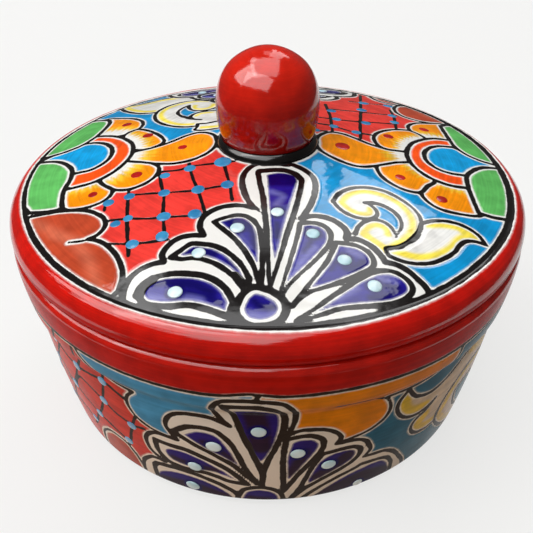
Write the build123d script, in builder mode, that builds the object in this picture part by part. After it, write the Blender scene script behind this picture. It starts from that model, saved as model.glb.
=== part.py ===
"""Glazed earthenware tortilla warmer: a round dish with a lift-off domed lid and a ball knob.

Millimetres, +Z up. The origin is the centre of the circle that the dish stands on, so the foot
ring's underside is at z = 0. Every piece is a thrown, pressed or coiled piece of clay, and was
luted to its neighbour with slip before the firing, so each has a seat on the next one.
"""

from build123d import *
import os

os.makedirs("parts", exist_ok=True)

# Foot ring, a trimmed ring that keeps the glazed base off the table
FOOT_RADIUS = 100.0  # outside of the ring
FOOT_WIDTH = 7.5
FOOT_HEIGHT = 4.0
FOOT_ROUND = 1.2

# Dish body, outside
BASE_RADIUS = 109.2  # wall at the level of the underside
BASE_ROUND = 4.0
WALL_SWELL = 0.9  # how far the flared wall bulges past a straight line
DISH_HEIGHT = 93.2  # underside to the seat that the lid rests on

# Dish body, inside
WALL = 7.0  # in from the edge of the underside
FLOOR = 8.0
INNER_SWELL = 2.4
FLOOR_CORNER = 14.0

# Mouth band, the thick collar of clay round the mouth
BAND_RADIUS = 126.0  # at the seat
BAND_THICKNESS = 12.8  # seat width, from the band's face to the mouth
BAND_HEIGHT = 23.7  # seat to the lower edge of the band
BAND_LEAN = 3.1  # how far the lower edge stands in from the upper one
BAND_SWELL = 0.4  # how far the face bulges past a straight line
BAND_LEDGE = 4.6  # drop of the sloping underside, from the lower edge to the neck
BAND_OVERHANG = 2.8  # from the neck, where the wall starts, out to the lower edge
BAND_TOP_ROUND = 2.8
BAND_LOWER_ROUND = 3.5
NECK_ROUND = 3.0
MOUTH_ROUND = 1.6

# Lid
LID_INSET = 0.1  # rim roll stands this much inside the band's face
RIM_ROLL_HEIGHT = 14.8  # seat to the crest of the roll
RIM_ROLL_WAIST = 4.6  # seat to the roll's greatest radius
RIM_FOOT_INSET = 3.4  # where the rolled edge meets the seat, in from its greatest radius
RIM_SHOULDER_INSET = 1.6  # the roll passes this far in from its greatest radius
RIM_SHOULDER_DROP = 4.1  # this far under its crest
CREST_INSET = 5.4
PANEL_INSET = 7.0  # painted panel starts here, in from the greatest radius
PANEL_DROP = 1.0  # and lies this far below the crest
DOME_RISE = 16.9  # edge of the painted panel to the flat under the knob
DOME_SWELL = 1.6  # how far the dome stands above a straight cone at half its width
LID_THICKNESS = 8.5
UNDER_SWELL = 4.4  # how far the hollow beneath rises above a straight cone

# Locating ring under the lid, which keeps the lid from sliding off the mouth
FLANGE_CLEARANCE = 2.0  # to the mouth, all round
FLANGE_THICKNESS = 6.0
FLANGE_DEPTH = 9.0  # below the seat
FLANGE_REBATE = 4.0  # depth of the rebate in the lid that takes the ring's upper edge
FLANGE_ROUND = 2.2
LUTE_GAP = 0.25  # slip joint between two pieces of clay

# Ball knob
KNOB_RADIUS = 25.1
KNOB_HEIGHT = 48.6
KNOB_WAIST = 21.4  # seat to the greatest radius
KNOB_BASE_RADIUS = 20.7
KNOB_THROAT = 4.2  # height of the cone at the base that the collar lies against
KNOB_THROAT_FLARE = 1.8
KNOB_CROWN_SIDE = 17.0  # the crown passes this radius
KNOB_CROWN_DROP = 6.8  # this far under the top
TENON_RADIUS = 11.0
VENT_RADIUS = 7.0
VENT_DEPTH = 26.0  # above the seat, so that the thick knob dries and fires without bursting

# Clay collar round the foot of the knob
COLLAR_WIDTH = 4.0
COLLAR_HEIGHT = 3.6
SEAT_MARGIN = 1.0  # flat of the lid outside the collar

# Heights and radii that follow
base_z = FOOT_HEIGHT
seat_z = base_z + DISH_HEIGHT
band_foot_z = seat_z - BAND_HEIGHT
band_foot_radius = BAND_RADIUS - BAND_LEAN
neck_z = band_foot_z - BAND_LEDGE
neck_radius = band_foot_radius - BAND_OVERHANG
mouth_radius = BAND_RADIUS - BAND_THICKNESS
lid_radius = BAND_RADIUS - LID_INSET
panel_radius = lid_radius - PANEL_INSET
panel_z = seat_z + RIM_ROLL_HEIGHT - PANEL_DROP
knob_seat_z = panel_z + DOME_RISE
flange_radius = mouth_radius - FLANGE_CLEARANCE
flange_bore = flange_radius - FLANGE_THICKNESS
rebate_z = seat_z + FLANGE_REBATE
hole_radius = TENON_RADIUS + LUTE_GAP
collar_radius = KNOB_BASE_RADIUS + LUTE_GAP + COLLAR_WIDTH
knob_flat_radius = collar_radius + SEAT_MARGIN


def halfway(start, end, swell):
    """Middle of the line from start to end, moved sideways by swell, to its left."""
    run = Vector(*end) - Vector(*start)
    middle = (Vector(*start) + Vector(*end)) / 2
    return middle + Vector(-run.Y, run.X).normalized() * swell


def corner(sketch, radius, height):
    """The vertex of a half section that lies nearest to this radius and height."""
    return sketch.vertices().sort_by_distance(Vector(radius, height))[0]


# Dish body: floor, flared wall and mouth band are one thrown piece
with BuildPart() as bowl:
    with BuildSketch(Plane.XZ) as bowl_section:
        with BuildLine():
            base_edge = (BASE_RADIUS, base_z)
            neck = (neck_radius, neck_z)
            band_foot = (band_foot_radius, band_foot_z)
            band_top = (BAND_RADIUS, seat_z)
            mouth = (mouth_radius, seat_z)
            floor_edge = (BASE_RADIUS - WALL, base_z + FLOOR)
            Line((0, base_z), base_edge)
            ThreePointArc(base_edge, halfway(base_edge, neck, -WALL_SWELL), neck)
            Line(neck, band_foot)
            ThreePointArc(band_foot, halfway(band_foot, band_top, -BAND_SWELL), band_top)
            Line(band_top, mouth)
            ThreePointArc(mouth, halfway(mouth, floor_edge, INNER_SWELL), floor_edge)
            Line(floor_edge, (0, base_z + FLOOR))
            Line((0, base_z + FLOOR), (0, base_z))
        make_face()
        fillet(corner(bowl_section, *base_edge), BASE_ROUND)
        fillet(corner(bowl_section, *neck), NECK_ROUND)
        fillet(corner(bowl_section, *band_foot), BAND_LOWER_ROUND)
        fillet(corner(bowl_section, *band_top), BAND_TOP_ROUND)
        fillet(corner(bowl_section, *mouth), MOUTH_ROUND)
        fillet(corner(bowl_section, *floor_edge), FLOOR_CORNER)
    revolve(axis=Axis.Z)
bowl.part.label = "bowl"
export_step(bowl.part, "parts/bowl.step")

# Foot ring: bare clay, seated flat on the underside of the dish
with BuildPart() as foot_ring:
    with BuildSketch(Plane.XZ) as foot_section:
        with Locations((FOOT_RADIUS - FOOT_WIDTH / 2, FOOT_HEIGHT / 2)):
            Rectangle(FOOT_WIDTH, FOOT_HEIGHT)
        fillet(foot_section.vertices().group_by(Axis.Y)[0], FOOT_ROUND)
    revolve(axis=Axis.Z)
foot_ring.part.label = "foot_ring"
export_step(foot_ring.part, "parts/foot_ring.step")

# Lid: low dome with a rolled rim, a flat for the knob, a hole for its tenon and a rebate beneath
with BuildPart() as lid:
    with BuildSketch(Plane.XZ) as lid_section:
        with BuildLine():
            knob_flat = (knob_flat_radius, knob_seat_z)
            panel_edge = (panel_radius, panel_z)
            rim_foot = (lid_radius - RIM_FOOT_INSET, seat_z)
            under_edge = (flange_bore - LUTE_GAP, rebate_z)
            under_centre = (hole_radius, knob_seat_z - LID_THICKNESS)
            Line((hole_radius, knob_seat_z), knob_flat)
            ThreePointArc(knob_flat, halfway(knob_flat, panel_edge, DOME_SWELL), panel_edge)
            crest_z = seat_z + RIM_ROLL_HEIGHT
            Spline(
                panel_edge,
                (lid_radius - CREST_INSET, crest_z),
                (lid_radius - RIM_SHOULDER_INSET, crest_z - RIM_SHOULDER_DROP),
                (lid_radius, seat_z + RIM_ROLL_WAIST),
                rim_foot,
                tangents=[(1, 1), (1, 0), (0.55, -1), (0, -1), (-1, -0.4)],
            )
            Line(rim_foot, (flange_radius + LUTE_GAP, seat_z))
            Line((flange_radius + LUTE_GAP, seat_z), (flange_radius + LUTE_GAP, rebate_z))
            Line((flange_radius + LUTE_GAP, rebate_z), under_edge)
            ThreePointArc(under_edge, halfway(under_edge, under_centre, -UNDER_SWELL), under_centre)
            Line(under_centre, (hole_radius, knob_seat_z))
        make_face()
    revolve(axis=Axis.Z)
lid.part.label = "lid"
export_step(lid.part, "parts/lid.step")

# Locating ring: stands in the lid's rebate and hangs inside the mouth
with BuildPart() as lid_flange:
    with BuildSketch(Plane.XZ) as flange_section:
        flange_height = FLANGE_DEPTH + FLANGE_REBATE
        with Locations((flange_radius - FLANGE_THICKNESS / 2, rebate_z - flange_height / 2)):
            Rectangle(FLANGE_THICKNESS, flange_height)
        fillet(flange_section.vertices().group_by(Axis.Y)[0], FLANGE_ROUND)
    revolve(axis=Axis.Z)
lid_flange.part.label = "lid_flange"
export_step(lid_flange.part, "parts/lid_flange.step")

# Knob: a ball on a short tenon, bored from below so that the thick clay can vent
with BuildPart() as knob:
    with BuildSketch(Plane.XZ) as knob_section:
        with BuildLine():
            tenon_z = knob_seat_z - LID_THICKNESS
            top_z = knob_seat_z + KNOB_HEIGHT
            throat_top = (KNOB_BASE_RADIUS + KNOB_THROAT_FLARE, knob_seat_z + KNOB_THROAT)
            Line((0, tenon_z), (TENON_RADIUS, tenon_z))
            Line((TENON_RADIUS, tenon_z), (TENON_RADIUS, knob_seat_z))
            Line((TENON_RADIUS, knob_seat_z), (KNOB_BASE_RADIUS, knob_seat_z))
            Line((KNOB_BASE_RADIUS, knob_seat_z), throat_top)
            Spline(
                throat_top,
                (KNOB_RADIUS, knob_seat_z + KNOB_WAIST),
                (KNOB_CROWN_SIDE, top_z - KNOB_CROWN_DROP),
                (0, top_z),
                tangents=[(KNOB_THROAT_FLARE, KNOB_THROAT), (0, 1), (-1, 0.85), (-1, 0)],
            )
            Line((0, top_z), (0, tenon_z))
        make_face()
    revolve(axis=Axis.Z)
    with BuildSketch(Plane.XZ) as vent_section:
        with BuildLine():
            vent_top = knob_seat_z + VENT_DEPTH
            Line((0, tenon_z), (VENT_RADIUS, tenon_z))
            Line((VENT_RADIUS, tenon_z), (VENT_RADIUS, vent_top - VENT_RADIUS))
            CenterArc((0, vent_top - VENT_RADIUS), VENT_RADIUS, 0, 90)
            Line((0, vent_top), (0, tenon_z))
        make_face()
    revolve(axis=Axis.Z, mode=Mode.SUBTRACT)
knob.part.label = "knob"
export_step(knob.part, "parts/knob.step")

# Collar: a smoothed coil in the angle between the knob and the lid
with BuildPart() as knob_collar:
    with BuildSketch(Plane.XZ) as collar_section:
        with BuildLine():
            inner_foot = (KNOB_BASE_RADIUS + LUTE_GAP, knob_seat_z)
            lean = KNOB_THROAT_FLARE * COLLAR_HEIGHT / KNOB_THROAT
            inner_top = (KNOB_BASE_RADIUS + LUTE_GAP + lean, knob_seat_z + COLLAR_HEIGHT)
            outer_foot = (collar_radius, knob_seat_z)
            Line(inner_foot, outer_foot)
            ThreePointArc(outer_foot, halfway(outer_foot, inner_top, -COLLAR_WIDTH / 8), inner_top)
            Line(inner_top, inner_foot)
        make_face()
    revolve(axis=Axis.Z)
knob_collar.part.label = "knob_collar"
export_step(knob_collar.part, "parts/knob_collar.step")
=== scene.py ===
"""Glazed earthenware tortilla warmer: round painted dish, painted lift-off lid and red ball knob.

Every piece is clay turned on a wheel or coiled, so each is a half section revolved about the +Z
axis. The decoration is painted as a potter does it: a white ground glaze, black outlines, and
coloured glazes laid inside them with a thin white margin. It is drawn here as outlines in
millimetres on the unrolled surface, turned into distances for each vertex, and the materials turn
those distances into ink and glaze. Raised drops of glaze are beads made by Geometry Nodes.

Lengths are in millimetres until a mesh is written, which is in metres.
"""

import logging
import math
from dataclasses import dataclass
from enum import Enum

import bpy
import bmesh
import numpy as np
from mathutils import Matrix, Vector


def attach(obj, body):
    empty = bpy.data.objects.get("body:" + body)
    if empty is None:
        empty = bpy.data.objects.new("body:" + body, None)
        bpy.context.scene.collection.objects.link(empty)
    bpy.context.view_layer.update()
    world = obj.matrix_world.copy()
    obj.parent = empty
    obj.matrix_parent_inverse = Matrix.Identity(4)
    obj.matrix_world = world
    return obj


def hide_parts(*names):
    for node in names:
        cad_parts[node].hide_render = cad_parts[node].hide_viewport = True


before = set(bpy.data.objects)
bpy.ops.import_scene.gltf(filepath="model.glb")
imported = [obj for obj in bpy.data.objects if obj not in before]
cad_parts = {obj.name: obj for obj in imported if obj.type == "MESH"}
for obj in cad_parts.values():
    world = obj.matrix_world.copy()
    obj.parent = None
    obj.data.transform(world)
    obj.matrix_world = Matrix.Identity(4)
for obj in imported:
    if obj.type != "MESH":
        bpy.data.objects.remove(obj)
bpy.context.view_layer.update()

LOG = logging.getLogger("tortilla_warmer")
MM = 0.001
FAR = 1000.0  # distance in mm that stands for nowhere near
PAINTED_GRAIN = 1.08  # spacing in mm of the vertices round the painted surfaces
SLOPE_REACH = 0.8  # the slope under a drop is taken this far to both sides, in mm
PANEL, PLAIN, RIM, ROLL_FOOT = range(4)  # order of the materials of a painted piece
GLAZED, BARE = range(2)  # order of the materials of the knob

Point = tuple[float, float]
Point3 = tuple[float, float, float]
Arc = tuple[Point, ...]
Colour = tuple[float, float, float]


def smooth(low: float, high: float, value: np.ndarray) -> np.ndarray:
    """Eased step from 0 at low to 1 at high."""
    share = np.clip((value - low) / (high - low), 0.0, 1.0)
    return share * share * (3.0 - 2.0 * share)


def linear(colour: Colour) -> Colour:
    """Linear colour of an sRGB colour given in steps of 0 to 255."""
    shares = (channel / 255.0 for channel in colour)
    return tuple(s / 12.92 if s <= 0.04045 else ((s + 0.055) / 1.055) ** 2.4 for s in shares)


def rgba(colour: Colour) -> tuple[float, ...]:
    """Linear colour with full alpha of an sRGB colour given in steps of 0 to 255."""
    return (*linear(colour), 1.0)


def hermite(
    start: np.ndarray, leave: np.ndarray, end: np.ndarray, arrive: np.ndarray, t: np.ndarray
) -> np.ndarray:
    """Span between two points.

    Args:
        start: its first point.
        leave: how it leaves that point, per unit of t.
        end: its last point.
        arrive: how it arrives there, per unit of t.
        t: from 0 to 1, one row for each point wanted.

    Returns:
        The points, one row each.
    """
    return (
        (2 * t**3 - 3 * t**2 + 1) * start
        + (t**3 - 2 * t**2 + t) * leave
        + (3 * t**2 - 2 * t**3) * end
        + (t**3 - t**2) * arrive
    )


def linked(name: str, data: bpy.types.ID) -> bpy.types.Object:
    """New object of the scene that shows this data.

    Args:
        name: its name.
        data: its mesh, lamp or camera.

    Returns:
        The object.
    """
    made = bpy.data.objects.new(name, data)
    bpy.context.scene.collection.objects.link(made)
    return made


def aim(made: bpy.types.Object, place: Vector, direction: Vector) -> None:
    """Puts a lamp or a camera in its place and turns it so that it looks in a direction.

    Args:
        made: the lamp or camera.
        place: where it goes.
        direction: where it looks.
    """
    made.location = place
    made.rotation_mode = "QUATERNION"
    made.rotation_quaternion = direction.to_track_quat("-Z", "Y")


class Glaze(Enum):
    """Glazes of the potter's palette, as sRGB steps."""

    WHITE = (238, 238, 235)
    INK = (20, 17, 17)
    RIM_RED = (204, 20, 8)
    RED = (236, 62, 54)
    WALL_RED = (214, 62, 44)
    BAND_RED = (198, 26, 14)
    TERRACOTTA = (190, 72, 42)
    VERMILION = (255, 86, 12)
    ORANGE = (255, 152, 0)
    AMBER = (240, 140, 0)
    YELLOW = (250, 230, 84)
    GOLD = (246, 196, 48)
    SCROLL_WHITE = (236, 236, 233)
    LEAF_PALE = (208, 104, 76)
    GREEN = (98, 190, 98)
    SKY = (8, 149, 212)
    DISC = (0, 162, 228)
    # Muted copy of SKY for the wall: painted shade and warm reflection of the shaded wall
    WALL_SKY = (76, 152, 198)
    TEAL = (40, 104, 134)
    COBALT = (34, 24, 142)
    NAVY = (12, 4, 96)
    CREAM = (226, 206, 180)
    MUSTARD = (232, 196, 52)
    WALL_COBALT = (48, 27, 120)
    PLUM = (48, 21, 48)
    COBALT_PALE = (104, 104, 178)
    DROP_BLUE = (62, 150, 200)
    DROP_PALE = (226, 244, 248)
    DAB_RED = (206, 22, 12)
    KNOB_RED = (228, 36, 15)
    CLAY = (176, 104, 68)

    @property
    def linear(self) -> Colour:
        """The glaze as a linear colour."""
        return linear(self.value)


# Shader maths written as expressions


class Field:
    """A number socket of a tree that adds its own Math nodes when it is used in an expression."""

    def __init__(self, tree: "NodeTree", socket: bpy.types.NodeSocket) -> None:
        """Wraps one output socket of a tree."""
        self.tree, self.socket = tree, socket

    def _math(self, operation: str, *values: "Field | float") -> "Field":
        """Result of one Math node."""
        node = self.tree.node("ShaderNodeMath", {"operation": operation}, dict(enumerate(values)))
        return Field(self.tree, node.outputs[0])

    def __add__(self, other: "Field | float") -> "Field":
        """This value plus the other."""
        return self._math("ADD", self, other)

    def __radd__(self, other: float) -> "Field":
        """The other value plus this one."""
        return self._math("ADD", other, self)

    def __sub__(self, other: "Field | float") -> "Field":
        """This value less the other."""
        return self._math("SUBTRACT", self, other)

    def __rsub__(self, other: float) -> "Field":
        """The other value less this one."""
        return self._math("SUBTRACT", other, self)

    def __mul__(self, other: "Field | float") -> "Field":
        """Product of both values."""
        return self._math("MULTIPLY", self, other)

    def __rmul__(self, other: float) -> "Field":
        """Product of both values."""
        return self._math("MULTIPLY", other, self)

    def lower(self, other: "Field | float") -> "Field":
        """The lower of both values."""
        return self._math("MINIMUM", self, other)

    def higher(self, other: "Field | float") -> "Field":
        """The higher of both values."""
        return self._math("MAXIMUM", self, other)

    def eased(self, low: float, high: float) -> "Field":
        """Eased step of this value.

        Args:
            low: value that gives 0; it may be above high, for a falling step.
            high: value that gives 1.

        Returns:
            The step, from 0 to 1.
        """
        settings = {"interpolation_type": "SMOOTHSTEP", "clamp": True}
        inputs = {"Value": self, "From Min": low, "From Max": high}
        node = self.tree.node("ShaderNodeMapRange", settings, inputs)
        return Field(self.tree, node.outputs["Result"])


class NodeTree:
    """A node tree with a short way to add nodes to it."""

    def __init__(self, tree: bpy.types.NodeTree) -> None:
        """Empties the tree to start with."""
        self.nodes, self.links = tree.nodes, tree.links
        self.nodes.clear()

    def node(
        self,
        kind: str,
        settings: dict[str, object] | None = None,
        inputs: dict[str | int, object] | None = None,
    ) -> bpy.types.Node:
        """Adds one node.

        Args:
            kind: the node's type.
            settings: its own settings, set first.
            inputs: a value, a socket or a Field for each named or numbered input.

        Returns:
            The node.
        """
        made = self.nodes.new(kind)
        for name, value in (settings or {}).items():
            setattr(made, name, value)
        for name, value in (inputs or {}).items():
            value = value.socket if isinstance(value, Field) else value
            if isinstance(value, bpy.types.NodeSocket):
                self.links.new(value, made.inputs[name])
            else:
                made.inputs[name].default_value = value
        return made

    def rays(self, *kinds: str) -> list[Field]:
        """For each kind of ray, 1 where the surface is met by such a ray and 0 elsewhere."""
        path = self.node("ShaderNodeLightPath").outputs
        return [Field(self, path[f"Is {kind} Ray"]) for kind in kinds]


class ShaderTree(NodeTree):
    """One material's nodes."""

    def __init__(self, name: str) -> None:
        """Makes an empty material of this name.

        Args:
            name: the material's name.
        """
        self.material = bpy.data.materials.new(name)
        self.material.use_nodes = True
        super().__init__(self.material.node_tree)
        self.place = self.node("ShaderNodeTexCoord").outputs["Object"]

    def attribute(self, name: str) -> Field:
        """Number stored at the vertices under this name."""
        return Field(self, self.node("ShaderNodeAttribute", {"attribute_name": name}).outputs["Fac"])

    def tint(self, name: str) -> bpy.types.NodeSocket:
        """Colour stored at the vertices under this name."""
        return self.node("ShaderNodeAttribute", {"attribute_name": name}).outputs["Color"]

    def noise(self, size: float, detail: float, seed: float = 0.0) -> Field:
        """Noise in the piece's own space.

        Args:
            size: wavelength in mm.
            detail: octaves above the first.
            seed: shift that keeps one pattern from repeating another.

        Returns:
            A value around 0.5.
        """
        scale = (1.0 / (size * MM),) * 3
        shift = (seed, seed * 0.7, seed * 1.3)
        mapping = self.node(
            "ShaderNodeMapping", None, {"Vector": self.place, "Scale": scale, "Location": shift}
        )
        return self._noise_at(mapping.outputs["Vector"], detail)

    def brush_noise(self, across: float, along: float, detail: float, seed: float) -> Field:
        """Noise drawn out round the axis, as a brush held to a turning pot leaves it.

        Args:
            across: wavelength in mm across the brush.
            along: wavelength in turns of the wheel, about.
            detail: octaves above the first.
            seed: shift that keeps one pattern from repeating another.

        Returns:
            A value around 0.5.
        """
        flat = self.node("ShaderNodeVectorMath", {"operation": "MULTIPLY"}, {0: self.place, 1: (1, 1, 0)})
        unit = self.node("ShaderNodeVectorMath", {"operation": "NORMALIZE"}, {0: flat.outputs[0]})
        length = self.node("ShaderNodeVectorMath", {"operation": "LENGTH"}, {0: flat.outputs[0]})
        radius = Field(self, length.outputs["Value"])
        split = self.node("ShaderNodeSeparateXYZ", None, {0: self.place})
        over = (radius - Field(self, split.outputs["Z"])) * (1.0 / (across * MM))
        turned = self.node("ShaderNodeSeparateXYZ", None, {0: unit.outputs[0]})
        pull = 1.0 / (along * math.tau)
        joined = self.node(
            "ShaderNodeCombineXYZ",
            None,
            {
                "X": Field(self, turned.outputs["X"]) * pull + seed,
                "Y": Field(self, turned.outputs["Y"]) * pull,
                "Z": over,
            },
        )
        return self._noise_at(joined.outputs[0], detail)

    def _noise_at(self, vector: bpy.types.NodeSocket, detail: float) -> Field:
        """Noise at a vector, in units of its own wavelength.

        Args:
            vector: the place, in wavelengths.
            detail: octaves above the first.

        Returns:
            A value around 0.5.
        """
        made = self.node(
            "ShaderNodeTexNoise", None, {"Vector": vector, "Scale": 1.0, "Detail": detail, "Roughness": 0.5}
        )
        return Field(self, made.outputs["Fac"])

    def mix(self, share: "Field | float", first: object, second: object) -> bpy.types.NodeSocket:
        """Colour between two colours.

        Args:
            share: 0 for the first, 1 for the second.
            first: a colour or a colour socket.
            second: a colour or a colour socket.

        Returns:
            The mixed colour's socket.
        """
        settings = {"data_type": "RGBA", "clamp_factor": True}
        made = self.node("ShaderNodeMix", settings, {0: share, 6: first, 7: second})
        return made.outputs[2]

    def shaded(self, colour: object, value: "Field | float") -> bpy.types.NodeSocket:
        """A colour made lighter or darker by a factor."""
        made = self.node("ShaderNodeVectorMath", {"operation": "SCALE"}, {0: colour, "Scale": value})
        return made.outputs[0]

    def bump(
        self, height: Field, depth: float, below: bpy.types.NodeSocket | None = None
    ) -> bpy.types.NodeSocket:
        """Normal of a relief.

        Args:
            height: relief from 0 to 1.
            depth: height in mm that 1 stands for.
            below: normal of a coarser relief under this one.

        Returns:
            The normal's socket.
        """
        inputs = {"Height": height, "Distance": depth * MM, "Strength": 1.0}
        if below is not None:
            inputs["Normal"] = below
        return self.node("ShaderNodeBump", None, inputs).outputs[0]

    def surface(self, inputs: dict[str, object], fixed: dict[str, object]) -> bpy.types.Material:
        """Ends the material with its surface.

        Args:
            inputs: what changes over the surface.
            fixed: what is the same all over, set on the shader's own sockets.

        Returns:
            The material.
        """
        shader = self.node("ShaderNodeBsdfPrincipled", None, {**fixed, **inputs})
        self.node("ShaderNodeOutputMaterial", None, {"Surface": shader.outputs[0]})
        return self.material


# Finishes


@dataclass(frozen=True)
class PaintedGlaze:
    """White ground glaze with black outlines and coloured glazes, read from the vertices."""

    name: str = "painted_glaze"
    edge_wander: float = 0.34  # how far a brushed edge strays, in mm
    softness: float = 0.16  # half width of the edge between two glazes, in mm
    pillow: float = 1.3  # how far in from its edge a glaze reaches its full thickness, in mm
    relief: float = 0.13  # how high the glaze stands above the ink, in mm
    throwing_waves: float = 0.5  # unevenness that makes reflections waver, in mm
    ripples: float = 0.09  # finer unevenness of the melted glaze, in mm
    streaks: float = 0.0  # height of the ridges that the brush left round the pot, in mm
    roughness: float = 0.03
    ior: float = 1.54
    # Ground, ink and scuff colours; the wall's copy warms them all as painted bounce light and reflection
    white: Colour = Glaze.WHITE.value
    black: Colour = Glaze.INK.value
    scuffs: Colour = (56, 50, 48)

    def build(self) -> bpy.types.Material:
        """Makes the material.

        Returns:
            The material.
        """
        tree = ShaderTree(self.name)
        ink, coat, wash = (tree.attribute(name) for name in ("ink", "coat", "wash"))
        wander = (tree.noise(2.6, 2.0) - 0.5) * (2.0 * self.edge_wander)
        drift = (tree.noise(7.0, 1.0, seed=4.0) - 0.5) * (2.4 * self.edge_wander)
        line = (ink + wander * 0.7 + drift).eased(self.softness, -self.softness)
        glazed = (coat + wander).eased(self.softness, -self.softness)
        pooled = tree.noise(9.0, 3.0, seed=9.0).eased(0.3, 0.72)
        strokes = tree.brush_noise(1.5, 0.07, 3.0, seed=2.0).eased(0.35, 0.7)
        rich = tree.shaded(tree.tint("tint"), pooled * 0.26 + strokes * 0.17 + 0.75)
        dry = (wash + tree.noise(1.6, 2.0, seed=14.0) * 0.7 - 0.35).eased(0.25, 0.75)
        speck = tree.noise(0.9, 1.0, seed=21.0).eased(0.74, 0.8)
        ground = tree.mix(speck * 0.25, rgba(self.white), rgba((206, 196, 182)))
        thin = (coat + wander).eased(-0.9, -0.1) * 0.34 + dry * 0.66
        colour = tree.mix(glazed, ground, tree.mix(thin.lower(1.0), rich, ground))
        scuffed = tree.noise(1.1, 2.0, seed=31.0).eased(0.62, 0.8)
        black = tree.mix(scuffed * 0.35, rgba(self.black), rgba(self.scuffs))
        colour = tree.mix(line, colour, black)
        waves = tree.bump(tree.noise(24.0, 1.0, seed=6.0), self.throwing_waves)
        body = (coat.eased(0.0, -self.pillow) - line * 0.5) * 0.8 + tree.noise(3.2, 1.0, seed=17.0) * 0.2
        waves = tree.bump(tree.noise(8.0, 1.0, seed=41.0), self.ripples, waves)
        if self.streaks:
            waves = tree.bump(strokes, self.streaks, waves)
        normal = tree.bump(body, self.relief, waves)
        rough = line * 0.05 + tree.noise(14.0, 2.0, seed=27.0) * 0.04 + self.roughness
        return tree.surface({"Base Color": colour, "Roughness": rough, "Normal": normal}, {"IOR": self.ior})


@dataclass(frozen=True)
class PlainGlaze:
    """One glaze over clay, with the pooling and the small pits of a fired coat, and painted shade towards the
    bottom where its heights are given.
    """

    name: str
    glaze: Glaze
    deep: Colour
    roughness: float
    waves: float  # unevenness that makes reflections waver, in mm
    brushed: float = 0.0  # share of brush strokes in the colour
    coat: float = 0.3
    painted_shade_heights: Point | None = None  # heights in mm between which painted shade fades out upwards, so the glaze is darker towards the bottom

    def build(self) -> bpy.types.Material:
        """Makes the material.

        Returns:
            The material.
        """
        tree = ShaderTree(self.name)
        pooled = tree.noise(11.0, 3.0, seed=3.0).eased(0.32, 0.72)
        strokes = tree.brush_noise(1.3, 0.06, 3.0, seed=7.0).eased(0.4, 0.68)
        share = pooled * (1.0 - self.brushed) + strokes * self.brushed
        # Painted shade: low down the colour is pulled towards the deep red, so the top looks lit and the
        # bottom shaded
        if self.painted_shade_heights:
            height = Field(tree, tree.node("ShaderNodeSeparateXYZ", None, {0: tree.place}).outputs["Z"])
            low, high = self.painted_shade_heights
            share = share * 0.35 + height.eased(low * MM, high * MM) * 0.65
        pits = tree.noise(0.7, 1.0, seed=12.0).eased(0.78, 0.84)
        colour = tree.mix(share, rgba(self.deep), rgba(self.glaze.value))
        colour = tree.mix(pits * 0.3, colour, rgba(self.deep))
        waves = tree.bump(tree.noise(20.0, 1.0, seed=5.0), self.waves)
        normal = tree.bump(tree.noise(1.8, 2.0, seed=8.0) * 0.5 + strokes * (0.5 * self.brushed), 0.05, waves)
        rough = tree.noise(6.0, 2.0, seed=19.0) * 0.08 + self.roughness
        return tree.surface(
            {"Base Color": colour, "Roughness": rough, "Normal": normal},
            {"IOR": 1.5, "Coat Weight": self.coat, "Coat Roughness": 0.03},
        )


@dataclass(frozen=True)
class BareClay:
    """Fired clay without glaze, gritty and matt."""

    name: str = "bare_clay"

    def build(self) -> bpy.types.Material:
        """Makes the material.

        Returns:
            The material.
        """
        tree = ShaderTree(self.name)
        grit = tree.noise(0.8, 3.0, seed=2.0)
        stain = tree.noise(14.0, 2.0, seed=5.0).eased(0.3, 0.7)
        colour = tree.mix(stain, rgba((150, 82, 52)), rgba(Glaze.CLAY.value))
        colour = tree.mix(grit.eased(0.6, 0.75) * 0.5, colour, rgba((214, 164, 128)))
        turning = tree.brush_noise(0.9, 0.3, 1.0, seed=6.0)
        normal = tree.bump(grit * 0.5 + turning * 0.5, 0.18)
        rough = grit * 0.15 + 0.72
        return tree.surface({"Base Color": colour, "Roughness": rough, "Normal": normal}, {"IOR": 1.45})


@dataclass(frozen=True)
class PaleFloor:
    """Plain pale studio floor, which looks white and keeps the pot's shadow.

    Attributes:
        name: the material's name.
        paint: sRGB steps that the camera and the glaze see.
        bounce: sRGB steps of what it throws back on the pot.
        glow: share of its look that is its own, so that shadows stay soft.
    """

    name: str = "pale_floor"
    paint: Colour = (243, 243, 242)
    bounce: Colour = (168, 138, 110)
    glow: float = 0.8

    def build(self) -> bpy.types.Material:
        """Makes the material.

        Returns:
            The material.
        """
        tree = ShaderTree(self.name)
        camera, glossy, clear = tree.rays("Camera", "Glossy", "Transmission")
        seen = camera.higher(glossy).higher(clear)
        white = rgba(self.paint)
        lit = tree.node("ShaderNodeBsdfDiffuse", None, {"Color": white}).outputs[0]
        own = tree.node("ShaderNodeEmission", None, {"Color": white, "Strength": 1.0}).outputs[0]
        back = tree.node("ShaderNodeBsdfDiffuse", None, {"Color": rgba(self.bounce)}).outputs[0]
        pale = tree.node("ShaderNodeMixShader", None, {0: self.glow, 1: lit, 2: own}).outputs[0]
        chosen = tree.node("ShaderNodeMixShader", None, {0: seen, 1: back, 2: pale}).outputs[0]
        tree.node("ShaderNodeOutputMaterial", None, {"Surface": chosen})
        return tree.material


# Turned pieces


@dataclass(frozen=True)
class Ring:
    """One ring of a turned piece.

    Attributes:
        radius: in mm.
        height: in mm.
        reach: length of the section from its start to here, in mm.
        count: vertices round the ring.
        finish: index of the material that covers the faces up to the next ring.
    """

    radius: float
    height: float
    reach: float
    count: int
    finish: int


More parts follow.
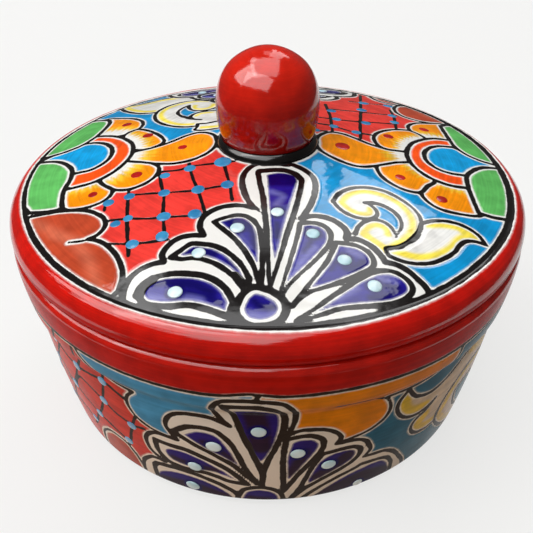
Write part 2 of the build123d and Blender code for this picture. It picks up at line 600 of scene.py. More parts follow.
class Section:
    """Half section of a turned piece, walked once round the clay, with its corners rounded."""

    FINE = 0.2  # spacing of the points that a curve is first drawn with, in mm
    COARSEST = 24  # fewest vertices round a ring
    CORNER_POINTS = 24  # points that a rounded corner is first drawn with
    CORNER_STEP = 0.7  # spacing of the rings on a rounded corner, at most, in mm

    def __init__(self, start: Point) -> None:
        """Starts the section at a point (radius, height).

        Args:
            start: the point, in mm.
        """
        self.here = np.array(start, float)
        self.runs: list[np.ndarray] = []
        self.rounds: list[float] = []
        self.styles: list[tuple[float, float, int]] = []

    def _add(self, points: np.ndarray, step: float, grain: float, finish: int, rounding: float) -> "Section":
        """Keeps one run of the section and moves to its end.

        Args:
            points: the run's points, one row each.
            step: spacing of its rings.
            grain: spacing of the vertices round each ring, at most.
            finish: index of its material.
            rounding: radius of the corner at its end.

        Returns:
            The section.
        """
        self.runs.append(points)
        self.rounds.append(rounding)
        self.styles.append((step, grain, finish))
        self.here = points[-1]
        return self

    def line(
        self, end: Point, step: float, grain: float, finish: int = PANEL, rounding: float = 0.0
    ) -> "Section":
        """Adds a straight run, which is a bow without a swell."""
        return self.bow(end, 0.0, step, grain, finish, rounding)

    def bow(
        self,
        end: Point,
        swell: float,
        step: float,
        grain: float,
        finish: int = PANEL,
        rounding: float = 0.0,
    ) -> "Section":
        """Adds a run that bulges to its left by swell at its middle, as an arc of small rise.

        Args:
            end: where it ends.
            swell: rise of the arc.
            step: spacing of its rings.
            grain: spacing of the vertices round each ring, at most.
            finish: index of its material.
            rounding: radius of the corner at its end.

        Returns:
            The section.
        """
        run = np.array(end, float) - self.here
        length = float(np.hypot(*run))
        share = np.linspace(0.0, 1.0, max(2, int(length / self.FINE)))[:, None]
        left = np.array([-run[1], run[0]]) / length
        half = length / 2.0
        if abs(swell) < 1e-9:
            rise = np.zeros_like(share)
        else:
            radius = (half * half + swell * swell) / (2.0 * abs(swell))
            rise = np.sqrt(radius**2 - ((share - 0.5) * length) ** 2) - (radius - abs(swell))
        points = self.here + run * share + left * rise * math.copysign(1.0, swell)
        return self._add(points, step, grain, finish, rounding)

    def curve(
        self,
        through: Arc,
        tangents: Arc,
        step: float,
        grain: float,
        finish: int = PANEL,
        rounding: float = 0.0,
    ) -> "Section":
        """Adds a run through points with a direction at each, the first being for where it starts.

        Args:
            through: the points after the start.
            tangents: a direction for the start and for each point.
            step: spacing of its rings.
            grain: spacing of the vertices round each ring, at most.
            finish: index of its material.
            rounding: radius of the corner at its end.

        Returns:
            The section.
        """
        pieces = []
        start = self.here
        for index, end in enumerate(np.array(through, float)):
            chord = float(np.hypot(*(end - start)))
            leave, arrive = (np.array(t, float) / np.hypot(*t) * chord for t in tangents[index : index + 2])
            t = np.linspace(0.0, 1.0, max(3, int(chord / self.FINE)))[:, None]
            pieces.append(hermite(start, leave, end, arrive, t)[min(index, 1) :])
            start = end
        return self._add(np.vstack(pieces), step, grain, finish, rounding)

    @staticmethod
    def _cut(run: np.ndarray, length: float) -> np.ndarray:
        """The run without its last stretch of this length.

        Args:
            run: its points, one row each.
            length: what is cut off, in mm.

        Returns:
            The points that are left.
        """
        reach = np.concatenate([[0.0], np.cumsum(np.hypot(*np.diff(run, axis=0).T))])
        keep = reach[-1] - length
        end = [np.interp(keep, reach, run[:, axis]) for axis in (0, 1)]
        return np.vstack([run[reach < keep - 1e-6], end])

    def _corner(self, index: int) -> np.ndarray | None:
        """Rounds the corner after a run, shortens both runs to it and returns the arc's points.

        Args:
            index: number of the run.

        Returns:
            The arc's points, or None where the corner stays sharp.
        """
        radius = self.rounds[index]
        if radius <= 0.0 or index + 1 >= len(self.runs):
            return None
        before, after = self.runs[index], self.runs[index + 1]
        into = before[-1] - before[-2]
        out = after[1] - after[0]
        turn = abs(math.atan2(into[0] * out[1] - into[1] * out[0], float(into @ out)))
        setback = radius * math.tan(turn / 2.0)
        before, after = self._cut(before, setback), self._cut(after[::-1], setback)[::-1]
        self.runs[index], self.runs[index + 1] = before, after
        start, end = before[-1], after[0]
        into = (before[-1] - before[-2]) / np.hypot(*(before[-1] - before[-2]))
        out = (after[1] - after[0]) / np.hypot(*(after[1] - after[0]))
        handle = radius * 4.0 / 3.0 * math.tan(turn / 4.0)
        t = np.linspace(0.0, 1.0, self.CORNER_POINTS)[:, None]
        first, second = start + into * handle, end - out * handle
        return (1 - t) ** 3 * start + 3 * (1 - t) ** 2 * t * first + 3 * (1 - t) * t**2 * second + t**3 * end

    @classmethod
    def _count(cls, radius: float, grain: float) -> int:
        """Fewest vertices that keep to the grain round a ring, doubled up from the coarsest ring.

        Args:
            radius: the ring's radius.
            grain: spacing of its vertices, at most.

        Returns:
            Their number.
        """
        count = cls.COARSEST
        while math.tau * radius / count > grain:
            count *= 2
        return count

    def rings(self) -> list[Ring]:
        """Rings of the whole section, each corner rounded with the finish of the run before it.

        Returns:
            The rings, in order; the counts of two neighbours are alike or a factor of 2 apart.
        """
        arcs = [self._corner(index) for index in range(len(self.runs))]
        found: list[tuple[float, float, float, float, int]] = []
        reach = 0.0
        for run, arc, (step, grain, finish) in zip(self.runs, arcs, self.styles):
            for points, gap in ((run, step), (arc, min(step, self.CORNER_STEP))):
                if points is None:
                    continue
                along = np.concatenate([[0.0], np.cumsum(np.hypot(*np.diff(points, axis=0).T))])
                stops = np.linspace(0.0, along[-1], max(2, int(round(along[-1] / gap)) + 1))
                for stop in stops[:-1]:
                    radius, height = (float(np.interp(stop, along, points[:, axis])) for axis in (0, 1))
                    found.append((radius, height, reach + float(stop), grain, finish))
                reach += float(along[-1])
        radius, height = (float(value) for value in self.runs[-1][-1])
        found.append((radius, height, reach, *self.styles[-1][1:]))
        counts = [self._count(radius, grain) for radius, _, _, grain, _ in found]
        for _ in range(2):
            for order in (range(len(counts)), reversed(range(len(counts)))):
                for index in order:
                    beside = max(counts[index - 1], counts[(index + 1) % len(counts)])
                    counts[index] = max(counts[index], beside // 2)
        return [
            Ring(radius, height, reach, count, finish)
            for (radius, height, reach, _, finish), count in zip(found, counts)
        ]


class TurnedMesh:
    """Closed mesh of a half section revolved about +Z."""

    def __init__(self, name: str, rings: list[Ring], closed: bool) -> None:
        """Works out vertices and faces.

        Args:
            name: the piece's name.
            rings: its rings, in order; a ring of no radius is a pole.
            closed: True where the last ring joins the first, as in a ring with a hole.
        """
        self.name = name
        self.rings = rings[:-1] if closed else rings
        self.starts: list[int] = []
        self.sizes: list[int] = []
        places = []
        for ring in self.rings:
            size = 1 if ring.radius < 1e-4 else ring.count
            angle = np.arange(size) * math.tau / size
            self.starts.append(sum(self.sizes))
            self.sizes.append(size)
            places.append(np.column_stack([ring.radius * np.sin(angle), -ring.radius * np.cos(angle)]))
        self.flat = np.vstack(places)
        self.which = np.repeat(np.arange(len(self.rings)), self.sizes)
        self.heights = np.array([ring.height for ring in self.rings])[self.which]
        self.faces: list[tuple[int, ...]] = []
        self.finishes: list[int] = []
        pairs = list(zip(range(len(self.rings)), range(1, len(self.rings))))
        for low, high in pairs + ([(len(self.rings) - 1, 0)] if closed else []):
            self._join(low, high)

    def _join(self, low: int, high: int) -> None:
        """Adds the faces between two rings, whose counts are alike, a factor of 2 apart, or a pole's.

        Args:
            low: index of the first ring.
            high: index of the second.
        """
        first, second = self.starts[low], self.starts[high]
        size, other = self.sizes[low], self.sizes[high]
        made: list[tuple[int, ...]] = []
        for index in range(max(size, other)):
            following = index + 1
            if size == other:
                made.append(
                    (first + index, first + following % size, second + following % size, second + index)
                )
            elif size == 1:
                made.append((first, second + following % other, second + index))
            elif other == 1:
                made.append((first + index, first + following % size, second))
            elif other == 2 * size and index < size:
                a, b = first + index, first + following % size
                c, d, e = second + 2 * index, second + 2 * index + 1, second + (2 * index + 2) % other
                made += [(a, d, c), (a, b, d), (b, e, d)]
            elif size == 2 * other and index < other:
                a, b = second + index, second + following % other
                c, d, e = first + 2 * index, first + 2 * index + 1, first + (2 * index + 2) % size
                made += [(a, c, d), (a, d, b), (b, d, e)]
        self.faces += made
        self.finishes += [self.rings[low].finish] * len(made)

    def build(
        self, finishes: list[bpy.types.Material], fields: dict[str, np.ndarray] | None = None
    ) -> bpy.types.Object:
        """Makes the object.

        Args:
            finishes: its materials.
            fields: numbers or colours for each vertex, by attribute name.

        Returns:
            The object, with its faces outwards.
        """
        mesh = bpy.data.meshes.new(self.name)
        places = np.column_stack([self.flat, self.heights]) * MM
        mesh.from_pydata(places.tolist(), [], self.faces)
        mesh.polygons.foreach_set("material_index", self.finishes)
        for name, values in (fields or {}).items():
            kind = "FLOAT" if values.ndim == 1 else "FLOAT_COLOR"
            store = mesh.attributes.new(name, kind, "POINT")
            if values.ndim == 1:
                store.data.foreach_set("value", values.astype(np.float32))
            else:
                coloured = np.column_stack([values, np.ones(len(values))])
                store.data.foreach_set("color", coloured.astype(np.float32).ravel())
        shaped = bmesh.new()
        shaped.from_mesh(mesh)
        bmesh.ops.recalc_face_normals(shaped, faces=shaped.faces)
        shaped.to_mesh(mesh)
        shaped.free()
        mesh.shade_smooth()
        for finish in finishes:
            mesh.materials.append(finish)
        return linked(self.name, mesh)


# Painting


def arcs(written: str) -> list[Arc]:
    """Reads a line written as x,y pairs, with a slash at each sharp corner.

    Args:
        written: the pairs; what follows a slash goes on from the last pair before it.

    Returns:
        Its arcs, each smooth in itself.
    """
    found: list[Arc] = []
    for run in written.split("/"):
        pairs = tuple(tuple(map(float, pair.split(","))) for pair in run.split())
        found.append((found[-1][-1], *pairs) if found else pairs)
    return found


def drawn(arc: Arc, looped: bool = False, steps: int = 7) -> np.ndarray:
    """Smooth line through given points.

    Args:
        arc: the points.
        looped: True where the line runs on from its last point to its first.
        steps: pieces that each span is drawn with.

    Returns:
        The line's points, one row each.
    """
    points = np.array(arc, float)
    if len(points) < 3:
        return points
    if looped:
        points = np.vstack([points[-1], points, points[0], points[1]])
    else:
        points = np.vstack([2 * points[0] - points[1], points, 2 * points[-1] - points[-2]])
    spans = []
    for before, start, end, after in zip(points, points[1:], points[2:], points[3:]):
        pairs = ((before, start), (start, end), (end, after))
        gaps = [max(1e-6, float(np.hypot(*(b - a)))) ** 0.5 for a, b in pairs]
        leave = (start - before) / gaps[0] - (end - before) / (gaps[0] + gaps[1]) + (end - start) / gaps[1]
        arrive = (end - start) / gaps[1] - (after - start) / (gaps[1] + gaps[2]) + (after - end) / gaps[2]
        t = np.linspace(0.0, 1.0, steps + 1)[:-1, None]
        spans.append(hermite(start, leave * gaps[1], end, arrive * gaps[1], t))
    return np.vstack([*spans, points[-2]])


@dataclass(frozen=True)
class Fade:
    """Glaze that thins out to the white ground in brushed streaks towards a point.

    Attributes:
        centre: the point.
        bare: distance within which the ground shows.
        full: distance from which the glaze is whole.
        through: glaze that it passes through.
    """

    centre: Point
    bare: float
    full: float
    through: Glaze = Glaze.GOLD


@dataclass(frozen=True)
class Brush:
    """Soft stroke of another glaze inside a patch."""

    glaze: Glaze
    path: str
    width: float
    soft: float


@dataclass(frozen=True)
class Patch:
    """Closed shape: a black line, a thin white margin and a glaze.

    Attributes:
        glaze: what fills it.
        outline: what arcs() reads; a single arc that doesn't end where it starts closes smoothly.
        line: width of the black line, 0 for none.
        gap: white margin beside the line.
        fade: how its glaze thins out.
        brushes: strokes inside it.
        root: point towards which its line gets thinner.
    """

    glaze: Glaze
    outline: str
    line: float = 2.2
    gap: float = 0.55
    fade: Fade | None = None
    brushes: tuple[Brush, ...] = ()
    root: Point | None = None


@dataclass(frozen=True)
class Stroke:
    """Open black line, with a white margin where gap isn't 0 and a share of its width lost at its end."""

    path: str
    width: float
    gap: float = 0.0
    taper: float = 0.0


class DropKind(Enum):
    """Kinds of raised drops of glaze, each with its height as a share of its radius."""

    LATTICE = 0.10
    FAN = 0.24
    PETAL = 0.07


@dataclass(frozen=True)
class Drop:
    """One raised drop of glaze."""

    kind: DropKind
    at: Point
    radius: float


@dataclass(frozen=True)
class Placement:
    """Where a motif lies on the unrolled surface: it is stretched, turned, then moved."""

    move: Point = (0.0, 0.0)
    turn: float = 0.0
    stretch: Point = (1.0, 1.0)

    def of(self, points: np.ndarray) -> np.ndarray:
        """Places on the surface, in mm, of points given in a motif's own units, one row each.

        Args:
            points: the points.

        Returns:
            Their places.
        """
        angle = math.radians(self.turn)
        turned = np.array([[math.cos(angle), math.sin(angle)], [-math.sin(angle), math.cos(angle)]])
        return points * np.array(self.stretch) @ turned + np.array(self.move)

    @property
    def scale(self) -> float:
        """Mean change of size."""
        return abs(self.stretch[0] * self.stretch[1]) ** 0.5


@dataclass(frozen=True)
class Motif:
    """One figure of the decoration, painted in order, with its raised drops."""

    marks: tuple[Patch | Stroke, ...]
    drops: tuple[Drop, ...]


class Canvas:
    """The painted surface of one piece: for each vertex, how far it is from ink and from glaze."""

    MARGIN = 6.0  # distances are worked out this far round a shape, in mm
    LIMIT = 4.0  # largest distance that is stored, in mm
    SPILL = 0.3  # a tint goes this far past the middle of a black line, in mm
    OPEN_SPILL = 1.2  # the same where a shape has no line
    ROOT_WIDTH = 0.62  # share of a line's width left at the root of a fan
    ROOT_REACH = (6.0, 42.0)  # distances from the root between which the line swells, in mm
    STREAKS = ((61.0, 0.0, 1.1), (97.0, 1.3, 0.9))  # waves round a fade's centre, phase, height in mm
    HALO = (1.25, 1.6)  # the dark round a pale drop fades out between these shares of its radius
    HALO_DEPTH = 0.9

    def __init__(self, points: np.ndarray, shown: np.ndarray, around: float = 0.0) -> None:
        """Starts with bare white ground.

        Args:
            points: each vertex on the unrolled surface, in mm.
            shown: which of them are on the painted side.
            around: length after which the first axis repeats, 0 where it doesn't.
        """
        self.points = points[shown]
        self.shown = shown
        self.around = around
        size = len(self.points)
        self.ink = np.full(size, FAR)
        self.coat = np.full(size, FAR)
        self.wash = np.zeros(size)
        self.tint = np.tile(Glaze.WHITE.linear, (size, 1))
        self.drops: list[tuple[DropKind, Point, float]] = []

    def _near(self, shape: np.ndarray) -> tuple[np.ndarray, np.ndarray]:
        """Vertices near a shape, and where they lie, on the turn of the surface that the shape is on.

        Args:
            shape: its points, one row each.

        Returns:
            Their indices and their places.
        """
        low, high = shape.min(0) - self.MARGIN, shape.max(0) + self.MARGIN
        places = self.points
        if self.around:
            middle = (low[0] + high[0]) / 2.0
            shifted = (places[:, 0] - middle + self.around / 2.0) % self.around - self.around / 2.0 + middle
            places = np.column_stack([shifted, places[:, 1]])
        found = np.flatnonzero(((places >= low) & (places <= high)).all(1))
        return found, places[found]

    @staticmethod
    def _measured(places: np.ndarray, line: np.ndarray) -> tuple[np.ndarray, np.ndarray]:
        """Distance of each place from a line, and the share of the line passed at its nearest point.

        Args:
            places: one row each.
            line: its points, one row each.

        Returns:
            Both, for each place.
        """
        nearest = np.full(len(places), FAR)
        passed = np.zeros(len(places))
        for index, (start, end) in enumerate(zip(line, line[1:])):
            run = end - start
            share = np.clip((places - start) @ run / max(float(run @ run), 1e-9), 0.0, 1.0)
            away = np.hypot(*(places - start - share[:, None] * run).T)
            closer = away < nearest
            nearest[closer] = away[closer]
            passed[closer] = (index + share[closer]) / (len(line) - 1)
        return nearest, passed

    @classmethod
    def _distance(cls, places: np.ndarray, line: np.ndarray) -> np.ndarray:
        """Distance of each place from a line."""
        return cls._measured(places, line)[0]

    @staticmethod
    def _inside(places: np.ndarray, loop: np.ndarray) -> np.ndarray:
        """Which places lie inside a closed loop.

        Args:
            places: one row each.
            loop: its points, one row each.

        Returns:
            True for each place inside.
        """
        within = np.zeros(len(places), bool)
        x, y = places.T
        for (ax, ay), (bx, by) in zip(loop, np.roll(loop, -1, axis=0)):
            if ay != by:
                crossed = (ay > y) != (by > y)
                within ^= crossed & (x < (bx - ax) * (y - ay) / (by - ay) + ax)
        return within

    @staticmethod
    def _loop(outline: str, placement: Placement) -> np.ndarray:
        """Closed outline of a patch, as points on the surface.

        Args:
            outline: what arcs() reads.
            placement: where the patch lies.

        Returns:
            The points, one row each.
        """
        runs = arcs(outline)
        if len(runs) == 1 and runs[0][0] != runs[0][-1]:
            return placement.of(drawn(runs[0], looped=True))
        return np.vstack([placement.of(drawn(run)) for run in runs])

    @staticmethod
    def _line(path: str, placement: Placement) -> np.ndarray:
        """Open line, as points on the surface."""
        return placement.of(drawn(arcs(path)[0]))

    def fill(self, patch: Patch, placement: Placement) -> None:
        """Paints a patch over what is there.

        Args:
            patch: what to paint.
            placement: where it lies.
        """
        loop = self._loop(patch.outline, placement)
        found, places = self._near(loop)
        closed = np.vstack([loop, loop[0]])
        away = self._distance(places, closed)
        away = np.where(self._inside(places, loop), -away, away)
        half = patch.line * placement.scale**0.5 / 2.0
        if patch.root:
            spread = places - placement.of(np.array([patch.root]))[0]
            swelling = smooth(*self.ROOT_REACH, np.hypot(*spread.T))
            half = half * (self.ROOT_WIDTH + (1.0 - self.ROOT_WIDTH) * swelling)
        ink, coat = self.ink[found], self.coat[found]
        if patch.line > 0.0:
            ink = np.minimum(np.maximum(ink, -half - away), np.abs(away) - half)
            coat = np.maximum(coat, half + patch.gap - away)
        if patch.glaze is not Glaze.WHITE:
            coat = np.minimum(coat, away + (half + patch.gap if patch.line > 0.0 else 0.0))
        self.ink[found], self.coat[found] = ink, coat
        painted = away < (self.SPILL if patch.line > 0.0 else self.OPEN_SPILL)
        tint = np.tile(patch.glaze.linear, (len(found), 1))
        wash = np.zeros(len(found))
        if patch.fade:
            tint, wash = self._faded(patch, places, placement)
        for brush in patch.brushes:
            stroke = self._distance(places, self._line(brush.path, placement))
            reach = brush.width * placement.scale / 2.0
            share = 1.0 - smooth(reach - brush.soft, reach + brush.soft, stroke)
            tint += (np.array(brush.glaze.linear) - tint) * share[:, None]
            wash *= 1.0 - share
        self.tint[found[painted]] = tint[painted]
        self.wash[found[painted]] = wash[painted]

    def _faded(self, patch: Patch, places: np.ndarray, placement: Placement) -> tuple[np.ndarray, np.ndarray]:
        """Tint and bareness of a patch that thins out towards a point.

        Args:
            patch: the patch.
            places: vertices near it.
            placement: where it lies.

        Returns:
            A linear colour, and a bareness from 0 to 1, for each place.
        """
        fade = patch.fade
        offset = places - placement.of(np.array([fade.centre]))[0]
        angle = np.arctan2(offset[:, 1], offset[:, 0])
        jitter = sum(height * np.sin(angle * waves + phase) for waves, phase, height in self.STREAKS)
        reach = np.hypot(*offset.T) / placement.scale + jitter
        middle = (fade.bare + fade.full) / 2.0
        rich = smooth(middle, fade.full, reach)[:, None]
        pale = smooth(fade.bare, middle, reach)[:, None]
        white, through, full = (np.array(g.linear) for g in (Glaze.WHITE, fade.through, patch.glaze))
        tint = white + (through - white) * pale
        tint = tint + (full - tint) * rich
        return tint, 1.0 - smooth(fade.bare - 1.0, middle, reach)

    def stroke(self, stroke: Stroke, placement: Placement) -> None:
        """Draws an open black line over what is there.

        Args:
            stroke: the line.
            placement: where it lies.
        """
        line = self._line(stroke.path, placement)
        found, places = self._near(line)
        away, passed = self._measured(places, line)
        half = stroke.width * placement.scale**0.5 / 2.0 * (1.0 - stroke.taper * smooth(0.3, 1.0, passed))
        self.ink[found] = np.minimum(self.ink[found], away - half)
        if stroke.gap > 0.0:
            self.coat[found] = np.maximum(self.coat[found], half + stroke.gap - away)

    def paint(self, motif: Motif, placement: Placement = Placement()) -> None:
        """Paints a motif and keeps the places of its raised drops.

        Args:
            motif: what to paint.
            placement: where it lies.
        """
        for mark in motif.marks:
            if isinstance(mark, Patch):
                self.fill(mark, placement)
            else:
                self.stroke(mark, placement)
        for drop in motif.drops:
            x, y = placement.of(np.array([drop.at]))[0]
            radius = drop.radius * placement.scale
            self.drops.append((drop.kind, (float(x), float(y)), radius))
            if drop.kind is DropKind.FAN:
                self._halo((float(x), float(y)), radius)

    def _halo(self, at: Point, radius: float) -> None:
        """Darkens the cobalt round a pale drop.

        Args:
            at: the drop's place.
            radius: its radius.
        """
        found, places = self._near(np.array([at]))
        away = np.hypot(*(places - np.array(at)).T)
        full, none = (share * radius for share in self.HALO)
        share = (1.0 - smooth(full, none, away))[:, None] * self.HALO_DEPTH
        self.tint[found] += (np.array(Glaze.NAVY.linear) - self.tint[found]) * share

    def flood(self, where: np.ndarray, glaze: Glaze) -> None:
        """Covers a whole region with a glaze, before anything is drawn on it."""
        self.tint[where] = glaze.linear
        self.coat[where] = -FAR

    def border(self, beyond: np.ndarray, line: np.ndarray | float, gaps: Point, glaze: Glaze) -> None:
        """Draws the line between the panel and a plain coloured border.

        Args:
            beyond: distance of each vertex past the line's middle, negative on the panel.
            line: width of the line.
            gaps: white margin on its panel side and on its border side.
            glaze: what covers the border.
        """
        half = line / 2.0
        inner, outer = gaps
        self.ink = np.minimum(np.maximum(self.ink, beyond), np.abs(beyond) - half)
        self.coat = np.maximum(self.coat, beyond + half + inner)
        self.coat = np.minimum(self.coat, half + outer - beyond)
        self.tint[beyond > 0.0] = glaze.linear
        self.wash[beyond > 0.0] = 0.0

    def fields(self) -> dict[str, np.ndarray]:
        """What the painted material reads, by attribute name, for all vertices.

        Returns:
            Distances in mm, bareness from 0 to 1, and linear colours.
        """
        found = {
            "ink": np.clip(self.ink, -self.LIMIT, self.LIMIT),
            "coat": np.clip(self.coat, -self.LIMIT, self.LIMIT),
            "wash": self.wash,
            "tint": self.tint,
        }
        spread = {}
        for name, values in found.items():
            spread[name] = np.zeros((len(self.shown), *values.shape[1:]))
            spread[name][self.shown] = values
        return spread


# Parts of the motifs


def motif(*marks: Patch | Stroke, drops: tuple[Drop, ...] = ()) -> Motif:
    """Motif of marks in the order in which they are painted."""
    return Motif(marks, drops)


def dots(kind: DropKind, *places: Point3) -> tuple[Drop, ...]:
    """Drops of one kind, each given as x, y and radius."""
    return tuple(Drop(kind, (x, y), radius) for x, y, radius in places)


def cobalt(outline: str, *brushes: Brush) -> Patch:
    """Cobalt glaze inside a petal of the lid's fan, without a line of its own."""
    return Patch(Glaze.COBALT, outline, line=0.0, brushes=brushes)


def indigo(outline: str, *brushes: Brush) -> Patch:
    """Duller cobalt glaze of the wall, inside a petal."""
    return Patch(Glaze.WALL_COBALT, outline, line=0.0, brushes=brushes)


def petal(line: float, root: Point | None, outline: str, *brushes: Brush) -> Patch:
    """Petal of a fan: cobalt glaze inside a black line, which gets thinner towards the root."""
    return Patch(Glaze.COBALT, outline, line, 0.5, brushes=brushes, root=root)


def dark(path: str, width: float = 4.0) -> Brush:
    """Darker stroke of cobalt."""
    return Brush(Glaze.NAVY, path, width, 1.4)


def pale(path: str, width: float = 3.0) -> Brush:
    """Paler, thinner stroke of cobalt."""
    return Brush(Glaze.COBALT_PALE, path, width, 1.6)


def plum(path: str, width: float) -> Brush:
    """Stroke where iron of the clay has come through the cobalt."""
    return Brush(Glaze.PLUM, path, width, 1.6)


def white(outline: str, line: float) -> Patch:
    """White shape inside a black line."""
    return Patch(Glaze.WHITE, outline, line)


def flower(
    centre: Point,
    petals: tuple[tuple[str, float, float], ...],
    ring: str,
    disc: str,
    leaves: tuple[str, ...],
    leaf_line: float,
    dabs: tuple[Point3, ...],
) -> Motif:
    """Flower with orange petals round a red ring and a blue disc, between two leaves.

    Args:
        centre: middle of the flower.
        petals: outline of each petal, the distance from the centre within which it is white, and the
            distance from which it is orange.
        ring: outline of the ring.
        disc: outline of the disc.
        leaves: outlines of the leaves.
        leaf_line: width of the line round a leaf.
        dabs: red dabs, each as x, y and radius.

    Returns:
        The motif.
    """
    return motif(
        *(Patch(Glaze.ORANGE, path, 2.2, 0.6, Fade(centre, bare, full)) for path, bare, full in petals),
        Patch(Glaze.VERMILION, ring, 2.5, 0.9),
        Patch(Glaze.DISC, disc, 2.4, 0.9),
        *(Patch(Glaze.GREEN, leaf, leaf_line, 0.9) for leaf in leaves),
        drops=dots(DropKind.PETAL, *dabs),
    )


def lattice(lines: tuple[str, ...], drops: tuple[Point3, ...], width: float = 1.7) -> Motif:
    """Black lattice over red, with a drop of blue at each x, y and radius where its lines cross."""
    return motif(*(Stroke(line, width) for line in lines), drops=dots(DropKind.LATTICE, *drops))


def scroll(
    outline: str,
    brushes: tuple[tuple[str, float], ...],
    line: float,
    glazes: tuple[Glaze, Glaze] = (Glaze.SCROLL_WHITE, Glaze.YELLOW),
) -> Patch:
    """White scroll leaf with yellow strokes, each of a path and a width, inside a black line."""
    strokes = tuple(Brush(glazes[1], path, width, 1.1) for path, width in brushes)
    return Patch(glazes[0], outline, line=line, gap=0.5, brushes=strokes)


# Motifs of the lid, in mm from the middle of the lid, x to the right and y to the back

